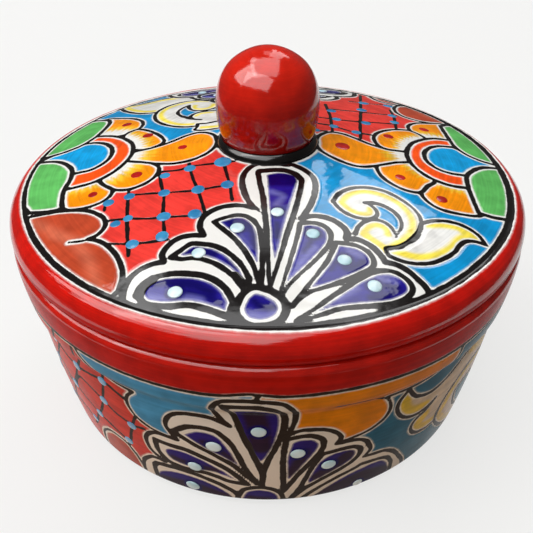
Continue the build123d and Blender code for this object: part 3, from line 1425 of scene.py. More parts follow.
FAN_ROOT = (-1.0, -106.0)
LID_FAN = motif(
    Patch(
        Glaze.WHITE,
        "-54.6,-108 -55,-99 -53.4,-93 -49.8,-89 -45,-86.6 -41.2,-86.2 / -42.2,-81.6 -40,-76.8 -36,-73.4 "
        "-31,-72.2 -26.2,-72.8 / -28.2,-67.4 -27.4,-62 -23.6,-57.6 -17.6,-55.2 -10.8,-55.2 -6.2,-56.8 / "
        "-9.2,-49.5 -11.2,-41 -11,-33.5 -8,-27.2 -3,-23.6 / 4,-22.8 10.5,-24.4 16.2,-28.2 20.4,-33.8 "
        "21.4,-40 20.4,-48 / 17.9,-56 14.2,-63.4 / 18.6,-61.5 24.4,-62 30,-65.4 32.8,-70 32.2,-74.2 / "
        "37,-74.2 41.6,-77 45.2,-81.6 46.9,-85.8 / 51,-86.4 55.4,-89.4 59.2,-93.8 61.7,-98.6 61.5,-106 / "
        "0,-122 -54.6,-108",
        line=2.9,
    ),
    Stroke("-8.6,-55.8 -5.4,-56.6 -3,-60", 2.2, 0.0, 0.6),
    petal(
        3.0,
        None,
        "-12.6,-107.4 -16,-101 -20,-97 -25.4,-94.3 -31,-93 -38,-92.7 -44,-94 -48,-97.4 / -49,-101 "
        "-46.6,-105.6 -42,-107.4 -36,-108.2 -30,-108 -24,-109.6 -18,-112.2 -12,-115 / -13.4,-111 "
        "-12.6,-107.4",
        dark("-42,-97 -35,-97 -27,-99 -21,-103.4"),
        dark("-30,-102 -24,-104 -18,-107.6", 2.6),
        pale("-45,-103.4 -38,-105 -30,-104.6 -25,-106.2", 2.6),
    ),
    Stroke("-44.6,-94.8 -47.6,-97.8 -48.8,-101.6", 4.8),
    petal(
        2.6,
        None,
        "-38.6,-84 -35,-80.6 -31,-77.2 -27,-77.4 -21,-79.2 -16,-82.7 -11.8,-87.4 -8.8,-92.4 -7,-97 / "
        "-8,-100.6 -9.6,-100.4 -13,-95.4 -17.4,-91 -23,-87.2 -29,-85.2 -34,-85.3 -38.6,-84",
        dark("-32,-81.6 -27,-81.6 -21,-83.4", 3.0),
        dark("-16,-87 -12,-91", 2.0),
    ),
    Stroke("-12.4,-94.6 -9.6,-99 -7.8,-103", 3.8),
    petal(
        2.4,
        None,
        "-22.6,-64.8 -18,-62.5 -13,-61.2 -9,-62 -5.4,-65.6 -3.2,-71 -2.3,-78 -2.1,-86 -2.2,-93 -2.6,-100.6 "
        "/ -4,-95 -6,-89 -9,-82.5 -13,-76 -18,-70 -22.6,-64.8",
        dark("-15.6,-64.6 -9,-66.4 -5.6,-73 -4.4,-81", 3.6),
        pale("-11.6,-73.6 -7.4,-80.6", 1.2),
    ),
    Patch(
        Glaze.WHITE,
        "0.9,-101 0.5,-93 0,-84 -0.3,-74 -0.9,-64 -1.5,-55 -2.4,-46 -3.6,-38 -4.4,-31.4 / -1,-30 4,-29.6 "
        "9.5,-30.4 13.6,-33 15.6,-37 / 14.6,-44 12.6,-54 10.5,-63 8.4,-71 6.3,-80 4.4,-88 2.6,-95 0.9,-101",
        2.7,
        root=FAN_ROOT,
    ),
    Stroke("-3.6,-30.4 1,-29.8 8,-29.8 13,-32.6 15,-36", 3.6),
    cobalt(
        "-0.5,-33.4 3.6,-31.9 9,-32.1 12.4,-34 13.4,-37 12.4,-43 10.6,-51 8.6,-60 6.7,-69 5,-78 3,-87 / "
        "2.1,-82 1.6,-74 1.1,-64 0.6,-54 0.1,-44 -0.5,-33.4",
        dark("1.6,-37 6,-37 11,-37", 9.0),
        dark("4,-67 4.2,-75", 2.6),
        pale("2,-46 6.6,-49 4,-54", 3.0),
    ),
    petal(
        2.3,
        FAN_ROOT,
        "4.6,-103.6 6.8,-95 9,-87 11,-79 12.6,-72 13.5,-66.4 / 17,-65.7 21,-66 24.6,-68.5 26,-72.4 "
        "25.3,-77 22.4,-82 17.9,-88 12.4,-94.4 8,-99.8 5.8,-104 / 4.6,-103.6",
        dark("16.2,-70 18.4,-74 15,-82", 2.4),
        pale("19,-80 14,-87 10,-94", 2.0),
    ),
    petal(
        2.4,
        FAN_ROOT,
        "8.6,-109.4 12.5,-104 16.5,-98 20.5,-92 24,-86 26.4,-80.4 27.8,-76.6 / 32,-77 36.6,-78 40.2,-80.6 "
        "42,-84.4 41.6,-88.2 38.4,-91.2 33.5,-94.4 28,-97.4 22,-100.2 17,-102.2 12.6,-105.6 9.2,-109.6 / "
        "8.6,-109.4",
        dark("37.4,-87 34.6,-89.6 31,-90", 4.4),
        dark("27,-87 24.6,-91.4", 2.0),
        pale("33,-81 37,-83", 2.6),
    ),
    petal(
        2.5,
        FAN_ROOT,
        "10.4,-115.8 17.4,-110.2 23,-105.5 29,-100.5 35,-95.5 40,-92.2 44.2,-90.4 / 48.4,-90.2 52.4,-92 "
        "55.2,-95.5 55.5,-99.2 53,-102.6 48,-105.5 42,-107.3 35,-108.4 27,-109.8 20,-112.6 14,-115 "
        "10.4,-115.8",
        dark("45,-98 49.4,-98.4 46,-102 39,-104", 3.6),
        pale("43,-94.4 49,-95", 2.4),
        pale("34,-100 26,-105.6", 2.0),
    ),
    Patch(
        Glaze.COBALT,
        "-4.6,-100.6 1.6,-102.6 6,-106.8 6.8,-111.4 4,-116 -2,-118.2 -8.6,-116.6 -11.6,-111.6 -10.4,-105.8 "
        "-7.6,-102",
        line=3.2,
        gap=1.4,
        brushes=(dark("-5,-107 -2.6,-109.4 2,-110.2", 3.0), pale("-6,-113.4 -1,-114.4 3,-112.4", 2.4)),
    ),
    drops=dots(
        DropKind.FAN,
        (4.2, -59.5, 2.85),
        (-12.5, -69, 2.85),
        (-27.5, -82.5, 2.85),
        (-35, -101.7, 2.85),
        (18.7, -72.2, 2.85),
        (30.5, -86, 2.85),
        (41, -98.3, 2.85),
    ),
)

LEFT_FLOWER = flower(
    (-92, 0),
    (
        ("-94,59 -84,55.5 -75,49.6 -69.4,42 -68.4,33 -70.5,29 -76,24.4 -88,26 -96,34", 33.0, 42.0),
        ("-70,29.6 -63,24.6 -56,15.4 -52.5,7.4 -53.6,4 -62,0 -70,5 -76,20 -75,26", 28.0, 36.0),
        ("-91,-44.4 -81,-45.7 -74,-43 -70.9,-38 -72,-32 -77.4,-26.6 -88,-22 -97,-30", 27.0, 35.0),
        (
            "-72,-33.4 -70,-35 -63,-36.3 -56,-33 -51.6,-27 -51.5,-20.4 -55.5,-15.6 -66,-9 -80,-20 -78,-27",
            28.0,
            39.0,
        ),
        (
            "-66,-0.6 -57,1.2 -48,5.5 -41,10.8 -35,12.8 -29,10 -25.6,3.4 -25.4,-5 -29,-12 -36,-17 "
            "-44,-18.6 -53,-16.6 -60,-13.4 -68.5,-9.4 -72,-4",
            27.5,
            40.0,
        ),
    ),
    ring="-100,31 -91,29.2 -83,25.6 -75,18.6 -69.2,9 -67.3,-1 -69,-10 -74,-19 -82,-25.2 -93,-27.4 / -104,-20 "
    "-104,20 -100,31",
    disc="-96,21.6 -90,19.8 -84,15.4 -79.6,8 -78.4,0 -80.2,-7 -85.6,-12.2 -93,-13.2 / -103,-10 -118,8 "
    "-112,14 -103,18 -96,21.6",
    leaves=(
        "-119,13.4 -108,15 -99,20 -93.4,28 -90.4,39 -89.6,50 -91.2,56 / -97,59.4 -105,61 -112,58 / -122,40 "
        "-119,13.4",
        "-119,9 -108,5 -101,-1.4 -96.4,-9 -94.9,-18 -95.6,-28 -94,-38 -92.3,-43.6 / -100,-43.6 -109,-41.6 "
        "/ -122,-20 -119,9",
    ),
    leaf_line=2.6,
    dabs=((-78, 41, 2.8), (-62.5, 18, 2.7), (-42, -2.8, 2.3), (-61.5, -24.5, 2.7), (-80, -36, 2.2)),
)

RIGHT_FLOWER = flower(
    (92, 0),
    (
        ("103,55 91,50.6 83,46 78,39.6 77,33 79.6,26 84.5,21 96,22 104,36", 28.0, 36.0),
        ("77.6,30.6 72,30.2 64,26 57.2,19 54.5,11 55.4,4 58,1 68,-1 78,10 84,22", 25.0, 30.5),
        ("78,-25.6 73.4,-31 69.8,-38 71.6,-43.4 76,-47.6 84,-49.2 95,-47.6 100,-34 92,-22", 27.0, 34.0),
        (
            "54,-15.4 51.7,-21 53,-28 58,-34.2 64.6,-37.4 69.4,-37.2 74,-31 78.6,-25 72,-12 66,-10",
            25.5,
            33.0,
        ),
        (
            "70,-0.4 60,0 52,3 44,8.6 37.4,12.6 31,12 25.8,6 24,-2 25.2,-9 31,-15.6 40,-21 46,-21.2 55,-17 "
            "62,-13 71,-9",
            27.0,
            38.0,
        ),
    ),
    ring="104,27 98,27 90,25.6 82.6,21 75,13 70.4,3 69.2,-6 71,-15 77,-23 86,-26.8 95,-26.2 / 106,-20 108,20 "
    "104,27",
    disc="97,17.4 89,15 82.4,9 78.8,1 78.6,-6 82,-12 88,-14.8 97,-14.2 / 106,-6 119,3.4 106,12 97,17.4",
    leaves=(
        "119,5 109,7.2 103,11.4 99.2,18.6 98.2,30 98.2,50 / 104,54.6 111,54 / 122,36 119,5",
        "119,2.4 109,-1 102,-7 97,-14.4 94.9,-25 94.5,-46 / 100,-47.2 110,-47 / 122,-26 119,2.4",
    ),
    leaf_line=2.5,
    dabs=((86, 37, 2.8), (63, 17, 2.7), (37, -3, 3.8), (62, -26.5, 2.4), (79, -40, 2.6)),
)

FRONT_LATTICE = lattice(
    (
        "-50,-24.8 -41,-25 -36,-23 -26,-22.4 -15.5,-21.6",
        "-63,-41 -54,-41.6 -46,-42.4 -31,-42.8 -25,-41.6 -18,-40.6",
        "-68,-57.6 -60,-58 -52,-59.4 -44,-59.7 -30,-60.2 -27,-60",
        "-66,-72.6 -57,-74.2 -50,-74.4 -41,-73.6",
        "-50.6,-26 -48,-37 -46,-45 -45,-56 -43.4,-66 -42.5,-72",
        "-63,-37.6 -62,-46 -60,-60 -57.8,-72 -56,-81",
        "-37,-20.4 -34.4,-32 -31,-43 -28.4,-52 -26.6,-59",
        "-21.4,-17.5 -19.2,-29 -17,-40 -15.4,-51",
        "-72.4,-44 -71.8,-50",
    ),
    (
        (-47.5, -28.5, 2.5), (-36.3, -24.6, 2.7), (-21, -21.5, 4.2), (-71, -44.7, 2.6), (-62, -42, 2.6),
        (-46.2, -42.5, 2.7), (-31, -42.3, 3.0), (-18, -40, 3.1), (-65, -60.5, 2.3), (-60, -57.8, 2.2),
        (-44.3, -59.2, 3.2), (-31, -59.2, 3.2), (-55.5, -74.5, 2.8), (-43.5, -71.5, 3.0),
    ),
)

BACK_LATTICE = lattice(
    (
        "58.4,98 57.2,88 55.8,76 54.4,65 52.8,52 51,39 49.4,27 48.4,18 47.5,9",
        "72,66 71.8,54 70.8,42 69.4,31",
        "33.4,62 33.8,50 34.2,38 33.8,24 33.4,13",
        "49,75.4 59,75 69,76.8 75,79",
        "35,51.6 47,52 58,52.6 66,53.6 74,55",
        "24,35 37,32.6 48,33.4 58,35.4 70,38",
        "22,24.4 33,22.2 38.6,19.4 43,17 54,15.4",
        "24,12.6 30,13.6",
    ),
    (
        (57.4, 74.6, 3.2), (72.4, 76, 3.2), (54, 57, 3.3), (71, 53.4, 2.8), (35.8, 48.4, 2.8),
        (37.3, 33.3, 2.7), (53.2, 32.6, 2.8), (70.3, 41.2, 2.8), (34.8, 21.4, 2.5), (46, 16.4, 2.7),
        (25, 13.4, 2.2),
    ),
    1.9,
)

FRONT_SCROLL_BACK = (
    "28.4,-51.4 31,-46 35,-42 40,-39.5 46,-38.6 52,-39.8 58,-43.5 63,-49 65.8,-55 65.8,-61 64,-67 "
    "60,-72.4 55,-76.4 49.4,-78.7"
)
FRONT_SCROLL = motif(
    scroll(
        "66,-60 70,-57.8 76,-56.2 82,-56.5 87,-59 90.6,-63 92,-68 / 89.6,-67.2 86,-66.9 83,-68 80,-71 "
        "77,-75.4 72,-79.8 66,-83.3 60,-84.8 54,-84.3 48.6,-82 / 48,-78 54,-76 62,-68 66,-60",
        (
            ("68.4,-60.8 75,-59.4 82,-59.8 86.6,-62.4", 3.4),
            ("88,-64.4 83,-65.4 80,-68 76.6,-72.6 71.4,-77 65.6,-80 60,-81 51,-79", 4.0),
            ("84,-62 88,-64.6", 4.2),
        ),
        2.2,
    ),
    Patch(
        Glaze.SCROLL_WHITE,
        FRONT_SCROLL_BACK + " / 46,-84 34,-78 36.2,-70.6 / 38,-66.4 41.2,-62.8 45,-61.1 49.2,-61.9 "
        "52,-65 53.3,-69.4 / 55.2,-66.6 56.8,-62.6 56.4,-57 53.6,-52.8 49.4,-50.2 42.6,-50.2 / "
        "45.4,-51.8 47.2,-54.6 47,-57.8 44.5,-60.6 40,-61.2 35,-59.5 31,-56 28.4,-51.4",
        line=0.0,
        brushes=tuple(
            Brush(Glaze.YELLOW, path, width, 0.8)
            for path, width in (
                (
                    "32.4,-51 34.6,-47 38.6,-43.6 44,-42 50,-42.9 55.6,-46 60,-51.2 61.9,-57.4 61.3,-63.4 "
                    "58.2,-69.2 54,-73.6 50,-77",
                    3.0,
                ),
                ("32,-51.6 35.4,-55.8 39.6,-57.8 43.4,-57.2 44.2,-54.2", 2.8),
                ("50,-69.6 49.6,-66.2 46.2,-64.4 42.6,-66 39.8,-70", 3.0),
                ("39.6,-70 42.6,-73.6 46.4,-77 48.6,-80", 4.0),
            )
        ),
    ),
    Patch(
        Glaze.SKY,
        "48.4,-52.4 52.4,-54.4 54.6,-58.6 54.4,-63 / 51,-60.6 48,-60 48.4,-56.4 48.4,-52.4",
        line=0.0,
    ),
    Stroke(FRONT_SCROLL_BACK, 2.2, 0.6, 0.5),
    Stroke(
        "28.4,-50.6 31,-55.6 35,-59.3 40,-61.1 44.3,-60.5 47,-57.6 46.8,-54.4 44.8,-51.6 42.6,-50.2",
        2.1,
        0.5,
        0.3,
    ),
    Stroke(
        "42.6,-50.2 47.4,-49.8 52,-51.8 55.4,-55.4 57,-60 56.4,-64.6 54.6,-68 53.1,-71.2",
        2.3,
        0.5,
        0.6,
    ),
    Stroke("36.2,-70.8 38,-66.4 41.2,-62.8 45,-61.1 49.2,-61.9 52,-65 53.2,-69", 2.1, 0.5, 0.3),
)

BACK_SCROLL = motif(
    scroll(
        "-88.8,84 -80,83.6 -72,86.4 -64,90 -56,91.4 -49,88.4 -41.6,82 / -38,76 -50,70 -62,56.6 / -66,56.8 "
        "-71.4,58.4 -78,63 -84.6,71 -88.4,79 -88.8,84",
        (("-86.4,81 -80,70.6 -72,62.6 -65,60", 3.4), ("-86,81.4 -76,82 -64,86.4 -54,87", 4.6)),
        2.4,
    ),
    scroll(
        "-31,68 -36,72 -42,75 -49,74.4 -56.4,70 -61.8,62 -63.6,53 -62,42 -57,33 -50,26.4 -43,23.2 -36,22.6 "
        "/ -28,25 -22,34 -28,47 / -33,47.4 -38.6,46 -42,41.4 -42,36.6 / -46.4,40.6 -50,47 -50.6,53 "
        "-48.8,59 -45.6,64 / -45,57.6 -42,51.6 -36.6,49.4 -31,51.4 -26,60 -31,68",
        (
            ("-33,69 -42,72 -51,69.6 -57.8,63 -60.4,53 -58.6,43 -53.4,34 -46,27.6 -36,25.6", 3.4),
            ("-42,62 -41.4,55 -37,52.4 -32.4,55 -31,62", 3.0),
            ("-39.4,40 -37.4,43.6 -31,44.4", 3.0),
        ),
        2.2,
    ),
    Stroke("-42,38 -40,34.6 -36,32.4", 2.2),
    Stroke("-46.6,42 -43.4,37 -40,34.4 -36,32.4", 2.2),
    scroll(
        "-37.2,26 -37,21 -37.6,17 -31,15.4 -24,16.6 / -21,22 -26,27 -32,25.4 -37.2,26",
        (("-34.6,19.6 -25,18.8", 3.4),),
        2.0,
    ),
)

FRONT_LEAF = motif(
    Patch(
        Glaze.TERRACOTTA,
        "-108,-45 -95,-45 -85,-46.6 -77,-50 -71.2,-55.4 -69.4,-61 -71.6,-66 -75.4,-67.9 / -70,-70.4 "
        "-64,-76 -59,-84 -56.6,-92 -57,-99 / -66,-108 -100,-80 -118,-46 -108,-45",
        line=2.4,
        gap=0.6,
        brushes=(
            Brush(Glaze.LEAF_PALE, "-104,-50 -92,-60 -80,-70 -72,-82 -66,-96", 4.4, 3.0),
            Brush(Glaze.LEAF_PALE, "-92,-62 -83,-67 -77,-68", 3.0, 2.4),
        ),
    ),
    Stroke("-72.4,-67.6 -78,-68.6 -83.6,-68.4", 1.5, 0.7),
)

BACK_LEAF = motif(
    Patch(
        Glaze.TERRACOTTA,
        "62.6,112 64.4,98 66.4,90 70,85.2 76,82.8 84,84 92,84 / 104,84 98,104 62.6,112",
        line=2.4,
        gap=0.8,
    ),
    Patch(
        Glaze.TERRACOTTA,
        "92,84.6 85,84 79,80.2 76,74.4 74.8,67.4 75.4,60.6 78.6,55.4 84,52.4 91,51.6 99,54.4 109,57 / "
        "114,70 92,84.6",
        line=2.4,
        gap=0.8,
        brushes=(Brush(Glaze.LEAF_PALE, "88,80 92,70 100,60", 4.0, 3.0),),
    ),
)

# Motifs of the wall: degrees round the pot from its front, to the right, and mm above the table

WALL_FAN = motif(
    Patch(
        Glaze.WHITE,
        "-31,-5 -30.4,7.6 -29.7,12 -28.1,16.1 -26.3,18.9 -23.4,18.8 / -26.2,24.5 -26.8,29.5 -26.6,33.9 "
        "-25.4,37.9 -23.3,40.4 -18.7,40.1 / -20.6,47.6 -20.4,52 -19.2,56.4 -17.2,59.2 -14.2,60.4 -11,60.4 "
        "-7.2,56.4 / -8.7,60.6 -9.9,65 -10.2,68.1 -9.6,71.8 -8,75 -3.5,76.1 0.2,75.6 / 2.6,74.4 4.1,71.2 "
        "5.1,66.9 5.2,61.3 4.5,55 3.4,50.4 / 6.2,53.8 9.2,53.6 12,51.8 13.7,49 14.8,45 14.1,41.3 / "
        "18.8,40.3 20.6,37.8 21.7,33.8 22.4,29.4 21.2,25.2 / 26.1,23.8 28.5,20.9 30.3,16.9 32.1,11.3 34,5 "
        "35.4,-5 / 0,-12 -31,-5",
        line=1.95,
    ),
    white(
        "-27.2,-4 -27.1,7 -26.8,11.4 -25.9,14.4 / -21.5,16.1 -18.7,16.4 -16,15.8 -13.6,14.2 -11.1,12 "
        "-9,8.9 -7.3,5.6 -5,-4 / -16,-9 -27.2,-4",
        line=2.6,
    ),
    white(
        "-24.3,34.8 -20,34.2 -17.8,34.5 -16,33.6 -13.6,31.4 -11.1,28.9 -9,25.8 -7.2,22 -4.4,14 / -8.7,15.4 "
        "-11.1,17.9 -13.6,19.2 -16.6,18.9 -19.3,19.2 -21.8,20.1 -23.3,22.6 / -24.2,26.4 -24.4,30.8 "
        "-24.3,34.8",
        line=2.6,
    ),
    white(
        "-19.4,45.8 -17.8,48.6 -16,51.4 -14.2,52.6 -12.1,52.9 -10.2,52 -8.9,49.5 -7.6,45.6 -6.4,39.4 "
        "-4.6,26.9 -2.2,15 / -4.9,22.4 -7.5,29.5 -9.9,33.3 -12.4,36.7 -14.8,39.5 -17.2,42.9 -19.4,45.8",
        line=2.35,
    ),
    white(
        "-1.2,13 -1.1,21.3 -1.6,27.5 -3.2,40 -5,53.1 -6.1,62.5 -8,71.4 / -5,71.9 -2.6,72 -0.5,71.4 "
        "1.3,69.8 2.6,66.8 3.2,62.5 3.1,56 1.7,43.8 -0.2,31.3 -1,20 -1.2,13",
        line=2.35,
    ),
    white(
        "3.6,8 3.3,23.8 3.2,36.3 3.6,48.6 / 7.4,49.9 9.4,48.9 10.8,46.3 11.3,42.5 10.8,37.5 9.5,32.5 "
        "6.5,21.3 3.6,8",
        line=2.35,
    ),
    white(
        "5,0 7.2,10 8.3,18.1 9.7,27.5 11.4,35.4 / 15.7,36.3 17.9,35.9 19.4,34.1 20,30.6 19.5,26.9 "
        "17.9,23.1 13.3,16.9 8.8,10 5,0",
        line=2.35,
    ),
    white(
        "6.8,-3 10,5 13.9,11.6 16.4,14.7 18.8,16.9 21,19.4 / 23.6,18.9 26.1,18 27.9,16.1 29.3,12.5 "
        "30.2,8.1 30.8,-4 / 18,-9 6.8,-3",
        line=2.2,
    ),
    indigo(
        "-26.9,-3 -25.9,7 -24.5,9.5 -22.4,11.7 -19.9,12.8 -17.8,12.9 -15.4,12.3 -13,10.4 -10.8,7.6 "
        "-8.6,2.9 -8,-3",
        plum("-25,1 -17,4 -9,0", 5.4),
    ),
    indigo(
        "-6.4,16.4 -9.3,22.6 -11.8,26.4 -14.2,29.5 -16.6,31.4 -18.7,32 -20.9,31.4 -22.1,30 -22.2,26.6 "
        "-20.9,22.9 -18.7,21.7 -16.6,21.1 -14.2,20.8 -12.1,21.4 -9.9,20.1 -6.4,16.4",
        plum("-20.6,25 -16,23 -11,23", 3.0),
    ),
    indigo(
        "-16.9,45.6 -15.4,47.9 -13.6,49.8 -11.8,49.8 -9.9,47.9 -8.8,44.2 -7.6,38.9 -6.6,33.3 -5.8,28 / "
        "-7.3,31 -9.3,34.5 -11.8,37.6 -14.2,41.1 -16.9,45.6",
        plum("-13,43 -10,39 -7,33", 2.4),
    ),
    indigo(
        "-6.3,68 -4.7,69.4 -2.6,69.8 -0.5,69.1 1.2,66.9 2.1,63.4 2.1,57 1.2,45.6 0.1,38.8 -1.4,33.2 "
        "-2.3,36.3 -3.5,43.1 -4.6,50 -5.3,57.5 -5.9,63.4 -6.3,68",
        plum("-2.4,64 -1.7,56 -1.4,44", 6.6),
    ),
    indigo(
        "5,46.3 6.8,47.4 8.6,46.9 10,44.4 10.2,41.3 9.4,36.9 8,31.3 4.5,18.6 4.2,23.8 4.1,30 4.1,36.3 "
        "5,46.3",
        plum("7.4,38 6.2,30 5,23", 4.0),
    ),
    indigo(
        "9,12.9 8.9,16.3 9.5,20.6 10.1,25 11,29.4 12.4,32.5 14.2,34.1 16.4,34.5 18.2,33.4 18.8,30.6 "
        "18.5,27.5 17,24.1 14.8,20.9 9,12.9",
        plum("17,30 15,26 11,18", 5.0),
    ),
    indigo(
        "9,-3 12.1,4.1 14.2,8.1 16.7,11.6 19.1,14.1 21.8,15.6 24.2,16.3 26.4,15.6 27.9,13.1 29.1,8.8 "
        "29.9,-3",
        plum("28,4 22,8 13,1", 7.0),
    ),
    Patch(
        Glaze.WALL_COBALT,
        "-6.6,-2 -6.3,5.3 -4.9,9.8 -2.2,11.8 0.5,10.9 2.6,7.6 3.6,1.4 3.4,-4 -1.5,-8",
        line=2.3,
        gap=0.9,
        brushes=(plum("-4,2 0,1", 3.0),),
    ),
    drops=dots(
        DropKind.FAN,
        (-1.7, 53.8, 2.2),
        (-10.9, 40.9, 2.2),
        (-15.9, 22.5, 2.2),
        (-17.5, 4.9, 2.2),
        (6.1, 38, 2.2),
        (13, 26.3, 2.2),
        (21.6, 2.9, 1.6),
    ),
)

WALL_SKY_LEAF = motif(
    Patch(
        Glaze.WALL_SKY,
        "-39.4,80 -38.2,73 -34.6,67.4 -30.6,64.6 -27,63.6 / -29,58 -29,51 -26.6,44.6 -22,41 -16,40 / -4,46 "
        "-4,84 -22,88 -39.4,80",
        line=1.4,
        gap=0.6,
    ),
)

WALL_AMBER_LEAF = motif(
    Patch(
        Glaze.AMBER,
        "39.8,80 39.7,72 38.2,68.2 34.6,65.2 29,64.2 23.4,64 / 24.5,59.6 24.8,54 23.6,49 20.8,45 17.4,43 "
        "12,41 / 1,46 1,86 20,88 39.8,80",
        line=1.4,
        gap=0.6,
    ),
    Stroke("12.6,68 16,67.8 20,66.4 23.4,63.4", 1.1),
)

WALL_SCROLL = motif(
    scroll(
        "28.6,63 26.8,57 27.2,50 29.8,43.6 33,41.2 36,42.2 38.4,45 / 36,40 33.4,37 32.8,31 35,25.2 "
        "38.4,22.6 42,23 / 44,17 47.6,10 52,4 57,-4 / 62,-8 68,-4 / 68.6,14 67,32 62.4,48 56,59.6 50,65 "
        "45.6,62 41,56 36,52.6 31.6,55.4 28.6,63",
        (
            ("28.4,60 28.8,52 31,46.4 35,44.4", 4.6),
            ("36.4,36 34.8,31 37,26.6 41,25", 4.4),
            ("43.6,22 47.6,13.6 53,5 58,-3", 5.0),
            ("43.8,27 45.6,38 50,45.6 56,46", 3.6),
            ("49,61 56,55 62.4,43 65.4,28 66,8", 4.4),
        ),
        1.7,
        (Glaze.CREAM, Glaze.MUSTARD),
    ),
    Stroke("42,23 41.8,31 44,41 48.6,48.4 54,50 59,46", 1.9),
    Patch(Glaze.TEAL, "48.4,36 49,27 52,18 57,11 61,8 62,16 59,28 54,37", line=1.7, gap=0.6),
)

WALL_LOBE = motif(
    Patch(
        Glaze.TERRACOTTA,
        "-45,-4 -44,8 -42,15.6 -38.6,20.2 -34.8,19.6 -32.4,14 -31,4 -31,-4 / -38,-8 -45,-4",
        line=1.4,
        gap=1.0,
    ),
)

WALL_LATTICE = lattice(
    (
        "-34.2,68 -35.6,55.6 -36.8,47.8 -38,41 -39.7,34 -42,27.7 -43.5,21.5 -46,14",
        "-28.1,46.3 -29.6,38.5 -30.7,32.4 -32.2,23 -34.4,14",
        "-40.6,76 -41.6,65 -44.2,55.6 -45.7,49.4 -49.1,38.5 -52,28 -55,16 -58,2",
        "-47,76 -49.6,64 -52.8,54 -56.4,43 -60,32 -64,18 -67,4",
        "-55,77 -58.4,66 -62,55 -66,42 -70,30",
        "-64,77 -67.6,66 -71,56",
        "-62,76 -54,66 -49,60 -44,57.6 -39.7,59 -35.3,60.6 -30,56",
        "-66,54 -60,50 -55,46 -49,38 -46.5,45 -44,50 -39.7,47.8 -37,45 -34,41 -30,38.5",
        "-64,34 -58,36 -53,36 -49.5,37 -45,33.6 -41.2,30 -38.2,27.7 -33,22.3",
        "-62,14 -55,20 -49,22 -44.6,18",
        "-30,37.4 -28.4,38.6 -26.6,39.4",
    ),
    (
        (-35.3, 60, 1.8), (-37, 45, 1.7), (-49, 38, 1.9), (-30, 37.4, 1.7), (-41, 29.8, 1.7),
        (-32.8, 22.4, 1.7), (-44, 57.4, 1.8), (-45, 19.4, 1.6), (-56, 44.6, 1.8), (-52.6, 62, 1.7),
        (-60, 32, 1.7), (-57, 17, 1.7),
    ),
    1.35,
)


# Raised drops of glaze


